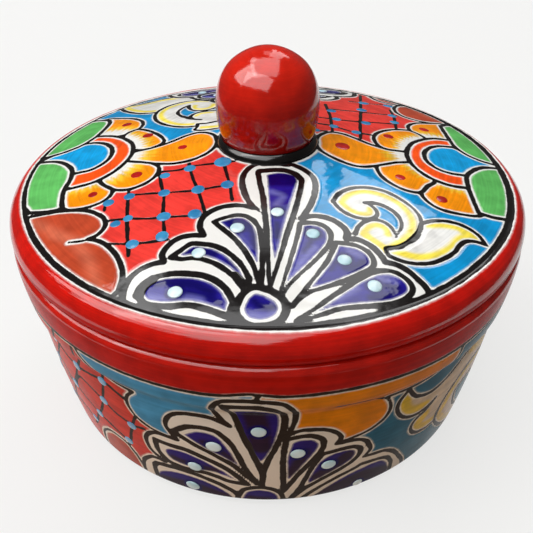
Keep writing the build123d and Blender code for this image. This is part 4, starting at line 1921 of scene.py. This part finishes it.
class BeadTree(NodeTree):
    """Geometry Nodes tree that puts a flattened drop on every point, facing the way the surface does."""

    SEGMENTS = 20
    RINGS = 10
    UNEVEN = 0.07  # share by which a drop is wider or narrower than asked
    SEED = 5
    SECOND_SEED = 17  # added for a drop's depth, so that it differs from its width

    def __init__(self) -> None:
        """Builds the tree with its named inputs."""
        self.tree = bpy.data.node_groups.new("glaze_drops", "GeometryNodeTree")
        super().__init__(self.tree)
        self.inputs = {
            name: self.tree.interface.new_socket(name=name, in_out="INPUT", socket_type=kind).identifier
            for name, kind in (
                ("Points", "NodeSocketGeometry"),
                ("Height share", "NodeSocketFloat"),
                ("Seed", "NodeSocketInt"),
                ("Finish", "NodeSocketMaterial"),
            )
        }
        self.tree.interface.new_socket(name="Drops", in_out="OUTPUT", socket_type="NodeSocketGeometry")
        given = self.node("NodeGroupInput").outputs
        ball = self.node("GeometryNodeMeshUVSphere", None, {"Segments": self.SEGMENTS, "Rings": self.RINGS})
        radius, facing = (
            self.node("GeometryNodeInputNamedAttribute", {"data_type": kind}, {"Name": name}).outputs[0]
            for name, kind in (("radius", "FLOAT"), ("facing", "FLOAT_VECTOR"))
        )
        turned = self.node("FunctionNodeAlignRotationToVector", {"axis": "Z"}, {"Vector": facing})
        radius, seed = Field(self, radius), Field(self, given["Seed"])
        wide, deep = (self._uneven(seed + offset, radius) for offset in (0, self.SECOND_SEED))
        tall = radius * Field(self, given["Height share"])
        size = self.node("ShaderNodeCombineXYZ", None, {0: wide, 1: deep, 2: tall})
        placed = self.node(
            "GeometryNodeInstanceOnPoints",
            None,
            {
                "Points": given["Points"],
                "Instance": ball.outputs["Mesh"],
                "Rotation": turned.outputs[0],
                "Scale": size.outputs[0],
            },
        )
        realized = self.node("GeometryNodeRealizeInstances", None, {0: placed.outputs[0]})
        rounded = self.node("GeometryNodeSetShadeSmooth", None, {0: realized.outputs[0]})
        coat = {0: rounded.outputs[0], "Material": given["Finish"]}
        coated = self.node("GeometryNodeSetMaterial", None, coat)
        self.node("NodeGroupOutput", None, {0: coated.outputs[0]})

    def _uneven(self, seed: Field, radius: Field) -> Field:
        """Radius made a little larger or smaller at random.

        Args:
            seed: seed of the draw.
            radius: the radius asked for.

        Returns:
            The radius to use.
        """
        share = self.node(
            "FunctionNodeRandomValue",
            {"data_type": "FLOAT"},
            {"Min": 1.0 - self.UNEVEN, "Max": 1.0 + self.UNEVEN, "Seed": seed},
        )
        value = next(out for out in share.outputs if out.enabled and out.type == "VALUE")
        return radius * Field(self, value)

    def lay(
        self, piece: str, body: str, seats: list[tuple[DropKind, "Seat"]], finishes: "Finishes"
    ) -> None:
        """Makes all drops of one piece, each kind as one object.

        Args:
            piece: the piece, for their names.
            body: what they ride on.
            seats: kind of each drop and where it lies.
            finishes: the materials.
        """
        for kind in DropKind:
            own = [seat for found, seat in seats if found is kind]
            name = f"{piece}_{kind.name.lower()}_drops"
            settle(self._bake(name, kind, own, finishes.drops[kind]), body)

    def _bake(
        self, name: str, kind: DropKind, seats: list["Seat"], finish: bpy.types.Material
    ) -> bpy.types.Object:
        """Makes the drops of one kind on one piece.

        Args:
            name: the new piece's name.
            kind: which drops they are.
            seats: where they lie.
            finish: their material.

        Returns:
            The object with all of them.
        """
        cloud = bpy.data.meshes.new(f"{name}_points")
        cloud.from_pydata([seat.place for seat in seats], [], [])
        cloud.attributes.new("radius", "FLOAT", "POINT").data.foreach_set("value", [s.radius for s in seats])
        flat = [value for seat in seats for value in seat.facing]
        cloud.attributes.new("facing", "FLOAT_VECTOR", "POINT").data.foreach_set("vector", flat)
        carrier = linked(f"{name}_carrier", cloud)
        modifier = carrier.modifiers.new("drops", "NODES")
        modifier.node_group = self.tree
        modifier[self.inputs["Height share"]] = kind.value
        modifier[self.inputs["Seed"]] = self.SEED
        modifier[self.inputs["Finish"]] = finish
        drops = bpy.data.meshes.new_from_object(carrier.evaluated_get(bpy.context.evaluated_depsgraph_get()))
        bpy.data.objects.remove(carrier)
        return linked(name, drops)


@dataclass(frozen=True)
class Seat:
    """Where a drop lies, in metres, and the direction that the surface faces there."""

    place: Point3
    facing: Point3
    radius: float


# The real pieces


@dataclass(frozen=True)
class Finishes:
    """Materials of the whole pot."""

    painted: bpy.types.Material
    rim: bpy.types.Material
    wall: bpy.types.Material
    white: bpy.types.Material
    red: bpy.types.Material
    black: bpy.types.Material
    clay: bpy.types.Material
    drops: dict[DropKind, bpy.types.Material]

    @classmethod
    def mixed(cls) -> "Finishes":
        """Makes them all.

        Returns:
            The materials.
        """
        drops = {
            DropKind.LATTICE: PlainGlaze("drop_blue", Glaze.DROP_BLUE, (38, 118, 172), 0.12, 0.1),
            DropKind.FAN: PlainGlaze("drop_pale", Glaze.DROP_PALE, (176, 214, 226), 0.08, 0.1),
            DropKind.PETAL: PlainGlaze("drop_red", Glaze.DAB_RED, (160, 14, 8), 0.12, 0.1),
        }
        return cls(
            painted=PaintedGlaze().build(),
            rim=PaintedGlaze("painted_rim_glaze", roughness=0.07, streaks=0.03).build(),
            # Painted light: the wall's copy of the glaze has a warmer white, brown ink and brown scuffs,
            # standing in for warm light bounced and reflected onto the shaded wall
            wall=PaintedGlaze(
                "painted_wall_glaze",
                roughness=0.2,
                ior=1.08,
                white=(238, 230, 220),
                black=(48, 35, 24),
                scuffs=(74, 54, 36),
            ).build(),
            white=PlainGlaze("white_glaze", Glaze.WHITE, (232, 229, 221), 0.12, 0.4).build(),
            # The knob's red carries painted shade: darkest below 140 mm, lightest above 172 mm
            red=PlainGlaze(
                "red_glaze",
                Glaze.KNOB_RED,
                (136, 6, 3),
                0.06,
                0.5,
                brushed=0.3,
                coat=0.25,
                painted_shade_heights=(140.0, 172.0),
            ).build(),
            black=PlainGlaze("black_glaze", Glaze.INK, (8, 7, 7), 0.14, 0.3).build(),
            clay=BareClay().build(),
            drops={kind: finish.build() for kind, finish in drops.items()},
        )


def settle(made: bpy.types.Object, body: str, node: str = "") -> None:
    """Hangs a piece on what it rides on and hides the CAD node that it stands for.

    Args:
        made: the piece.
        body: what it rides on.
        node: the CAD node, or nothing where it stands for none.
    """
    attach(made, body)
    if node:
        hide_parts(node)
    LOG.info("%s: %d faces", made.name, len(made.data.polygons))


def seated(shape: TurnedMesh, along: np.ndarray, value: float, angle: float, radius: float) -> Seat:
    """Finds where a drop lies on a turned piece.

    Args:
        shape: the piece.
        along: position of each of its rings on the unrolled surface, rising over the painted side.
        value: the drop's position on that scale.
        angle: the drop's angle round the axis, from the front to the right, in radians.
        radius: the drop's radius in mm.

    Returns:
        The seat.
    """
    order = np.argsort(along)
    places = np.array([(ring.radius, ring.height) for ring in shape.rings])[order]
    low, high = (
        np.array([np.interp(value + offset, along[order], values) for values in places.T])
        for offset in (-SLOPE_REACH, SLOPE_REACH)
    )
    run = high - low
    out = np.array([run[1], -run[0]]) / np.hypot(*run)
    if out[0] + out[1] < 0.0:
        out = -out
    middle = (low + high) / 2.0
    turn = (math.sin(angle), -math.cos(angle))
    place, facing = (
        (float(side) * turn[0], float(side) * turn[1], float(up)) for side, up in (middle * MM, out)
    )
    return Seat(place, facing, radius * MM)


@dataclass(frozen=True)
class Dish:
    """Bowl with its foot ring: (radius, height above the table) of its section's corners, in mm."""

    base: Point = (109.2, 4.0)
    neck: Point = (120.1, 68.9)
    band_foot: Point = (122.9, 73.5)
    lip: Point = (125.82, 93.7)
    band_top: Point = (125.95, 97.2)
    mouth: Point = (113.2, 97.2)
    floor: Point = (102.2, 12.0)
    foot_inner: float = 92.5
    foot_outer: float = 100.0
    mean_radius: float = 118.0  # radius at which the wall is unrolled
    line_height: float = 82.3  # black line under the red band, above the table
    lowest_drop: float = 5.0  # a drop lower than this would hang off the wall

    def section(self) -> Section:
        """Half section of the bowl, from the middle of its underside round to the middle of its floor.

        Returns:
            The section.
        """
        radius, height = self.base
        return (
            Section((0.0, height))
            .line((radius - 3.8, height), 9.0, 9.0, finish=PLAIN)
            .line(self.base, 1.0, PAINTED_GRAIN, rounding=1.2)
            .bow(self.neck, -0.9, 1.05, PAINTED_GRAIN, rounding=3.0)
            .line(self.band_foot, 1.0, PAINTED_GRAIN, rounding=3.5)
            .bow(self.lip, -0.4, 0.85, PAINTED_GRAIN)
            .line(self.band_top, 1.0, PAINTED_GRAIN, finish=RIM, rounding=3.3)
            .line(self.mouth, 2.0, 2.2, finish=RIM, rounding=1.6)
            .bow(self.floor, 2.4, 4.0, 4.4, finish=PLAIN, rounding=14.0)
            .line((0.0, self.floor[1]), 9.0, 9.0, finish=PLAIN)
        )

    def paint(self, shape: TurnedMesh) -> Canvas:
        """Paints the wall and its band.

        Args:
            shape: the bowl.

        Returns:
            The painted canvas, in mm round the wall and mm above the table.
        """
        angle = np.arctan2(shape.flat[:, 0], -shape.flat[:, 1])
        height = shape.heights
        shown = np.array([ring.finish != PLAIN for ring in shape.rings])[shape.which]
        laid = np.column_stack([angle * self.mean_radius, height])
        canvas = Canvas(laid, shown, math.tau * self.mean_radius)
        side = np.degrees(angle[shown]) % 180.0
        canvas.flood(side >= 90.0, Glaze.WALL_RED)
        canvas.flood(side < 90.0, Glaze.TEAL)
        degree = math.radians(self.mean_radius)
        for turn in (0.0, 180.0):
            whole = Placement((turn * degree, 4.0), 0.0, (degree, 1.0))
            for figure in (WALL_LATTICE, WALL_LOBE, WALL_SCROLL):
                canvas.paint(figure, whole)
            seam = Placement(((turn + 90.0) * degree, 0.0))
            canvas.stroke(Stroke("0.6,40 -0.8,56 0.8,70 0,84", 2.0), seam)
            canvas.paint(LEFT_FLOWER, Placement(((turn + 90.0) * degree, 89.0), 90.0, (0.72, 0.72)))
            for figure in (WALL_SKY_LEAF, WALL_AMBER_LEAF, WALL_FAN):
                canvas.paint(figure, whole)
        # The line under the band is drawn by hand: it wavers, and rises over the tip of each fan
        turned = angle[shown]
        hump = 2.1 * np.exp(-((((np.degrees(turned) + 3.0 + 90.0) % 180.0 - 90.0) / 4.0) ** 2))
        waver = 0.5 * np.sin(3.0 * turned + 0.6) + 0.3 * np.sin(8.0 * turned)
        canvas.border(height[shown] - self.line_height - hump - waver, 1.7, (0.6, -0.3), Glaze.BAND_RED)
        return canvas

    def build(self, finishes: Finishes, beads: BeadTree) -> None:
        """Makes the bowl, its drops and its foot ring.

        Args:
            finishes: the materials.
            beads: what makes the drops.
        """
        shape = TurnedMesh("painted_bowl", self.section().rings(), closed=False)
        canvas = self.paint(shape)
        glazes = [finishes.wall, finishes.white, finishes.rim]
        settle(shape.build(glazes, canvas.fields()), "dish", "bowl")
        heights = np.array([ring.height if ring.finish != PLAIN else -FAR for ring in shape.rings])
        seats = [
            (kind, seated(shape, heights, y, x / self.mean_radius, radius))
            for kind, (x, y), radius in canvas.drops
            if y > self.lowest_drop
        ]
        beads.lay("bowl", "dish", seats, finishes)
        seat_z = self.base[1]
        foot = (
            Section((self.foot_outer, seat_z))
            .line((self.foot_outer, 0.0), 1.0, 2.6, rounding=1.2)
            .line((self.foot_inner, 0.0), 2.0, 2.6, rounding=1.2)
            .line((self.foot_inner, seat_z), 1.0, 2.6)
            .line((self.foot_outer, seat_z), 3.0, 2.6)
        )
        ring = TurnedMesh("clay_foot_ring", foot.rings(), closed=True)
        settle(ring.build([finishes.clay]), "dish", "foot_ring")


@dataclass(frozen=True)
class Cover:
    """Lid with its locating ring, knob and collar: corners of its sections, in mm above the table."""

    hole: float = 11.25
    thickness: float = 8.5  # at the hole
    knob_seat: float = 127.9
    knob_flat: float = 25.95
    panel: Point = (118.9, 111.0)
    rim: Arc = ((120.3, 111.3), (123.9, 108.8), (125.88, 102.4))
    rim_runs: Arc = ((1.0, 0.35), (1.0, -0.15), (0.9, -1.0), (0.0, -1.0))
    rim_foot: Arc = ((125.3, 99.3), (122.3, 97.2))
    foot_runs: Arc = ((0.0, -1.0), (-0.5, -1.0), (-1.0, -0.1))
    rebate: Point = (111.45, 101.2)
    under: float = 104.95
    inner_edge: float = 118.4  # middle of the black line round the panel
    collar_line: float = 25.5  # black round the knob reaches this far over the panel
    tenon: float = 11.0
    vent: Point = (7.0, 146.9)  # its radius and where it begins to close
    vent_end: float = 153.9
    knob_foot: Point = (20.7, 127.9)
    knob_neck: Point = (22.5, 132.1)
    knob_ball: Arc = ((25.1, 149.3), (17.0, 169.7), (0.0, 176.5))
    ball_runs: Arc = ((1.8, 4.2), (0.0, 1.0), (-1.0, 0.85), (-1.0, 0.0))
    flange_outer: float = 111.2
    flange_inner: float = 105.2
    flange_foot: float = 88.2
    collar_inner: float = 20.95
    collar_outer: float = 24.95
    collar_top: Point = (22.49, 131.5)

    def section(self) -> Section:
        """Half section of the lid, from its hole over the top and back underneath.

        Returns:
            The section.
        """
        seat_z = self.rim_foot[-1][1]
        return (
            Section((self.hole, self.knob_seat))
            .line((self.knob_flat, self.knob_seat), 2.4, 2.0)
            .bow(self.panel, 1.6, 0.95, PAINTED_GRAIN)
            .curve(self.rim, self.rim_runs, 1.0, PAINTED_GRAIN, finish=RIM)
            .curve(self.rim_foot, self.foot_runs, 1.0, PAINTED_GRAIN, finish=ROLL_FOOT)
            .line((self.rebate[0], seat_z), 3.0, 2.2, finish=PLAIN)
            .line(self.rebate, 2.0, 4.5, finish=PLAIN)
            .line((self.under, self.rebate[1]), 3.0, 4.5, finish=PLAIN)
            .bow((self.hole, self.knob_seat - self.thickness), -4.4, 6.0, 4.5, finish=PLAIN)
            .line((self.hole, self.knob_seat), 3.0, 4.5, finish=PLAIN)
        )

    def unrolled(self, shape: TurnedMesh) -> np.ndarray:
        """Distance of each ring from the axis with the rolled rim laid flat; far off underneath.

        Args:
            shape: the lid.

        Returns:
            One distance in mm for each ring.
        """
        radii = np.array([ring.radius for ring in shape.rings])
        reach = np.array([ring.reach for ring in shape.rings])
        finish = np.array([ring.finish for ring in shape.rings])
        widest = int(radii.argmax())
        edge = np.interp(self.panel[0], radii[:widest], reach[:widest])
        laid = np.where(reach <= edge, radii, self.panel[0] + reach - edge)
        return np.where(finish != PLAIN, laid, FAR)

    def paint(self, shape: TurnedMesh) -> Canvas:
        """Paints the panel and the rim.

        Args:
            shape: the lid.

        Returns:
            The painted canvas, in mm from the middle of the lid, to the right and to the back.
        """
        laid = self.unrolled(shape)[shape.which]
        shown = laid < FAR
        angle = np.arctan2(shape.flat[:, 0], -shape.flat[:, 1])
        points = np.column_stack([laid * np.sin(angle), -laid * np.cos(angle)])
        canvas = Canvas(points, shown)
        x, y = points[shown].T
        red = ((x < 3.0) & (y < 0.0)) | ((x > -3.0) & (y > 0.0))
        canvas.flood(red, Glaze.RED)
        canvas.flood(~red, Glaze.SKY)
        figures = (FRONT_LATTICE, BACK_LATTICE, FRONT_SCROLL, BACK_SCROLL, FRONT_LEAF, BACK_LEAF)
        for figure in (*figures, LEFT_FLOWER, RIGHT_FLOWER, LID_FAN):
            canvas.paint(figure)
        canvas.paint(LID_FAN, Placement(turn=180.0))
        # The line round the panel wavers too, and is widest a little to the right of the front
        turned = angle[shown]
        waver = 0.35 * np.sin(3.0 * turned + 1.1) + 0.22 * np.sin(7.0 * turned)
        line = 2.6 + 1.2 * np.cos(turned - 0.6)
        canvas.border(laid[shown] - self.inner_edge - waver, line, (0.5, 0.7), Glaze.RIM_RED)
        canvas.stroke(Stroke("-2,-24.6 4,-24.2 9.5,-24.8", 4.4), Placement())
        near = laid[shown] - self.collar_line - 0.4 * np.sin(2.0 * turned + 0.5)
        canvas.coat = np.maximum(canvas.coat, 1.1 - near)
        canvas.ink = np.minimum(canvas.ink, near)
        return canvas

    def knob_section(self) -> Section:
        """Half section of the knob, from the end of its vent down, out and over its crown.

        Returns:
            The section.
        """
        low = self.knob_seat - self.thickness
        return (
            Section((0.0, self.vent_end))
            .curve((self.vent,), ((1.0, 0.0), (0.0, -1.0)), 2.0, 3.0, finish=BARE)
            .line((self.vent[0], low), 4.0, 3.0, finish=BARE)
            .line((self.tenon, low), 2.0, 3.0, finish=BARE)
            .line((self.tenon, self.knob_seat), 4.0, 3.0, finish=BARE)
            .line(self.knob_foot, 4.0, 2.0, finish=BARE)
            .line(self.knob_neck, 1.0, 1.0, finish=GLAZED)
            .curve(self.knob_ball, self.ball_runs, 1.0, 1.0, finish=GLAZED)
        )

    def build(self, finishes: Finishes, beads: BeadTree) -> None:
        """Makes the lid, its drops, its locating ring, the knob and the collar.

        Args:
            finishes: the materials.
            beads: what makes the drops.
        """
        shape = TurnedMesh("painted_lid", self.section().rings(), closed=True)
        canvas = self.paint(shape)
        glazes = [finishes.painted, finishes.white, finishes.rim, finishes.wall]
        settle(shape.build(glazes, canvas.fields()), "cover", "lid")
        along = self.unrolled(shape)
        seats = [
            (kind, seated(shape, along, math.hypot(x, y), math.atan2(x, -y), radius))
            for kind, (x, y), radius in canvas.drops
        ]
        beads.lay("lid", "cover", seats, finishes)
        inner, outer, low, top = self.flange_inner, self.flange_outer, self.flange_foot, self.rebate[1]
        flange = (
            Section((inner, top))
            .line((inner, low), 2.5, 2.6, rounding=2.2)
            .line((outer, low), 1.5, 2.6, rounding=2.2)
            .line((outer, top), 2.5, 2.6)
            .line((inner, top), 3.0, 2.6)
        )
        ring = TurnedMesh("glazed_flange", flange.rings(), closed=True)
        settle(ring.build([finishes.white]), "cover", "lid_flange")
        knob = TurnedMesh("red_knob", self.knob_section().rings(), closed=False)
        settle(knob.build([finishes.red, finishes.clay]), "cover", "knob")
        collar = (
            Section((self.collar_inner, self.knob_seat))
            .line((self.collar_outer, self.knob_seat), 1.5, 0.9)
            .bow(self.collar_top, -0.5, 0.5, 0.9)
            .line((self.collar_inner, self.knob_seat), 1.0, 0.9)
        )
        ring = TurnedMesh("black_collar", collar.rings(), closed=True)
        settle(ring.build([finishes.black]), "cover", "knob_collar")


# Studio


@dataclass(frozen=True)
class Softbox:
    """Soft light on the sky dome round the pot.

    Attributes:
        name: the lamp's name.
        azimuth: degrees from behind, to the right.
        elevation: degrees above the horizon.
        size: width and height in metres.
        radiance: how bright its face is.
        colour: linear colour.
        distance: metres from the pot.
        mirrored: how much brighter the glaze shows it; 0 where no glaze shows it.
    """

    APART = 0.05  # metres that the lamp for reflections hangs before the other

    name: str
    azimuth: float
    elevation: float
    size: tuple[float, float]
    radiance: float
    colour: Colour = (1.0, 1.0, 1.0)
    distance: float = 4.0
    mirrored: float = 1.5

    def place(self, target: Vector) -> None:
        """Hangs the light so that it faces the target: once for what it lights, once for its reflection.

        Args:
            target: what it faces.
        """
        self._hang(target, self.radiance, mirror=False)
        if self.mirrored:
            self._hang(target, self.radiance * self.mirrored, mirror=True)

    def _hang(self, target: Vector, radiance: float, mirror: bool) -> None:
        """Hangs one lamp.

        Args:
            target: what it faces.
            radiance: how bright its face is.
            mirror: whether glossy rays meet it; if not, diffuse rays do.
        """
        side, rise = math.radians(self.azimuth), math.radians(self.elevation)
        out = Vector((math.sin(side) * math.cos(rise), math.cos(side) * math.cos(rise), math.sin(rise)))
        lamp = bpy.data.lights.new(self.name, "AREA")
        lamp.shape = "RECTANGLE"
        lamp.size, lamp.size_y = self.size
        lamp.energy = radiance * math.pi * self.size[0] * self.size[1]
        lamp.color = self.colour
        made = linked(self.name, lamp)
        aim(made, target + out * (self.distance - self.APART * mirror), -out)
        made.visible_camera = False
        made.visible_glossy = mirror
        made.visible_diffuse = not mirror


@dataclass(frozen=True)
class Studio:
    """Floor, lights, surroundings and camera."""

    target: Point3 = (0.0, 0.0, 0.1106)
    camera: Point3 = (0.0, -0.3129, 0.2796)
    lens: float = 47.28
    shift: Point = (-0.002, -0.178)
    ambient: float = 0.05
    room: Colour = (1.0, 0.94, 0.86)
    backdrop: Colour = (247, 247, 246)
    mirrored_room: float = 0.04  # share of the backdrop that the glaze shows, as if the room were dark
    floor_middle: Point = (0.0, 0.42)
    floor_radii: Point = (0.52, 0.62)
    floor_loops: Point3 = (0.4, 0.7, 1.0)  # shares of the radii at which its loops of vertices lie
    floor_sides: int = 96
    lights: tuple[Softbox, ...] = (
        Softbox("window", 20.5, 54.0, (1.1, 1.45), 1.8),
        Softbox("window_left", 11.0, 39.8, (0.34, 0.6), 1.8),
        Softbox("window_right", 25.3, 39.8, (0.9, 0.6), 1.8),
        Softbox("curtain", 0.0, 51.6, (0.66, 0.94), 0.7),
        Softbox("behind", 0.0, 22.0, (5.0, 1.6), 2.6, mirrored=0.0),
        Softbox("ceiling_corner", -40.0, 57.5, (0.6, 0.7), 2.4),
        Softbox("overhead", -90.0, 86.4, (3.35, 3.4), 1.8),
        Softbox("left", -92.0, 48.5, (2.4, 2.9), 3.0, (1.0, 0.98, 0.95)),
        Softbox("left_front", -146.0, 53.0, (4.4, 2.6), 2.2),
        Softbox("table_fill", 180.0, 4.0, (6.5, 3.0), 0.42, (1.0, 0.8, 0.6), mirrored=0.0),
        Softbox("left_table", -112.0, 2.0, (4.0, 2.0), 0.6, (1.0, 0.66, 0.4), mirrored=0.0),
    )

    def _floor(self) -> None:
        """Oval table top that reaches from just before the pot to far behind it."""
        builder = bmesh.new()
        loops = [[builder.verts.new((*self.floor_middle, 0.0))]]
        x, y = self.floor_middle
        for share in self.floor_loops:
            wide, deep = (share * radius for radius in self.floor_radii)
            angles = (math.tau * index / self.floor_sides for index in range(self.floor_sides))
            places = ((x + wide * math.cos(angle), y + deep * math.sin(angle), 0.0) for angle in angles)
            loops.append([builder.verts.new(place) for place in places])
        for inner, outer in zip(loops, loops[1:]):
            for index in range(self.floor_sides):
                following = (index + 1) % self.floor_sides
                corners = [outer[index], outer[following]]
                corners += [inner[0]] if len(inner) == 1 else [inner[following], inner[index]]
                builder.faces.new(corners)
        mesh = bpy.data.meshes.new("studio_floor")
        builder.to_mesh(mesh)
        builder.free()
        mesh.shade_smooth()
        mesh.materials.append(PaleFloor().build())
        floor = linked("studio_floor", mesh)

    def _surroundings(self) -> None:
        """Soft light from all round, and the white that the camera sees behind the pot."""
        world = bpy.data.worlds.new("studio")
        world.use_nodes = True
        tree = NodeTree(world.node_tree)
        camera, glossy, clear = tree.rays("Camera", "Glossy", "Transmission")
        seen = camera.higher(clear).higher(glossy * self.mirrored_room)
        shades = {"Color": (*self.room, 1.0), "Strength": self.ambient}, {"Color": rgba(self.backdrop)}
        dim, bright = (tree.node("ShaderNodeBackground", None, shade).outputs[0] for shade in shades)
        chosen = tree.node("ShaderNodeMixShader", None, {0: seen, 1: dim, 2: bright})
        tree.node("ShaderNodeOutputWorld", None, {"Surface": chosen.outputs[0]})
        bpy.context.scene.world = world

    def _camera(self) -> None:
        """Camera of the photograph."""
        data = bpy.data.cameras.new("camera")
        data.lens = self.lens
        data.shift_x, data.shift_y = self.shift
        made = linked("camera", data)
        aim(made, Vector(self.camera), Vector(self.target) - Vector(self.camera))
        bpy.context.scene.camera = made

    def build(self) -> None:
        """Sets up everything round the pot."""
        self._floor()
        self._surroundings()
        self._camera()
        for light in self.lights:
            light.place(Vector(self.target))
        bpy.context.scene.view_settings.view_transform = "Standard"


def main() -> None:
    """Builds the pot and its studio."""
    logging.basicConfig(level=logging.INFO)
    finishes = Finishes.mixed()
    beads = BeadTree()
    Dish().build(finishes, beads)
    Cover().build(finishes, beads)
    Studio().build()


if __name__ == "__main__":
    main()
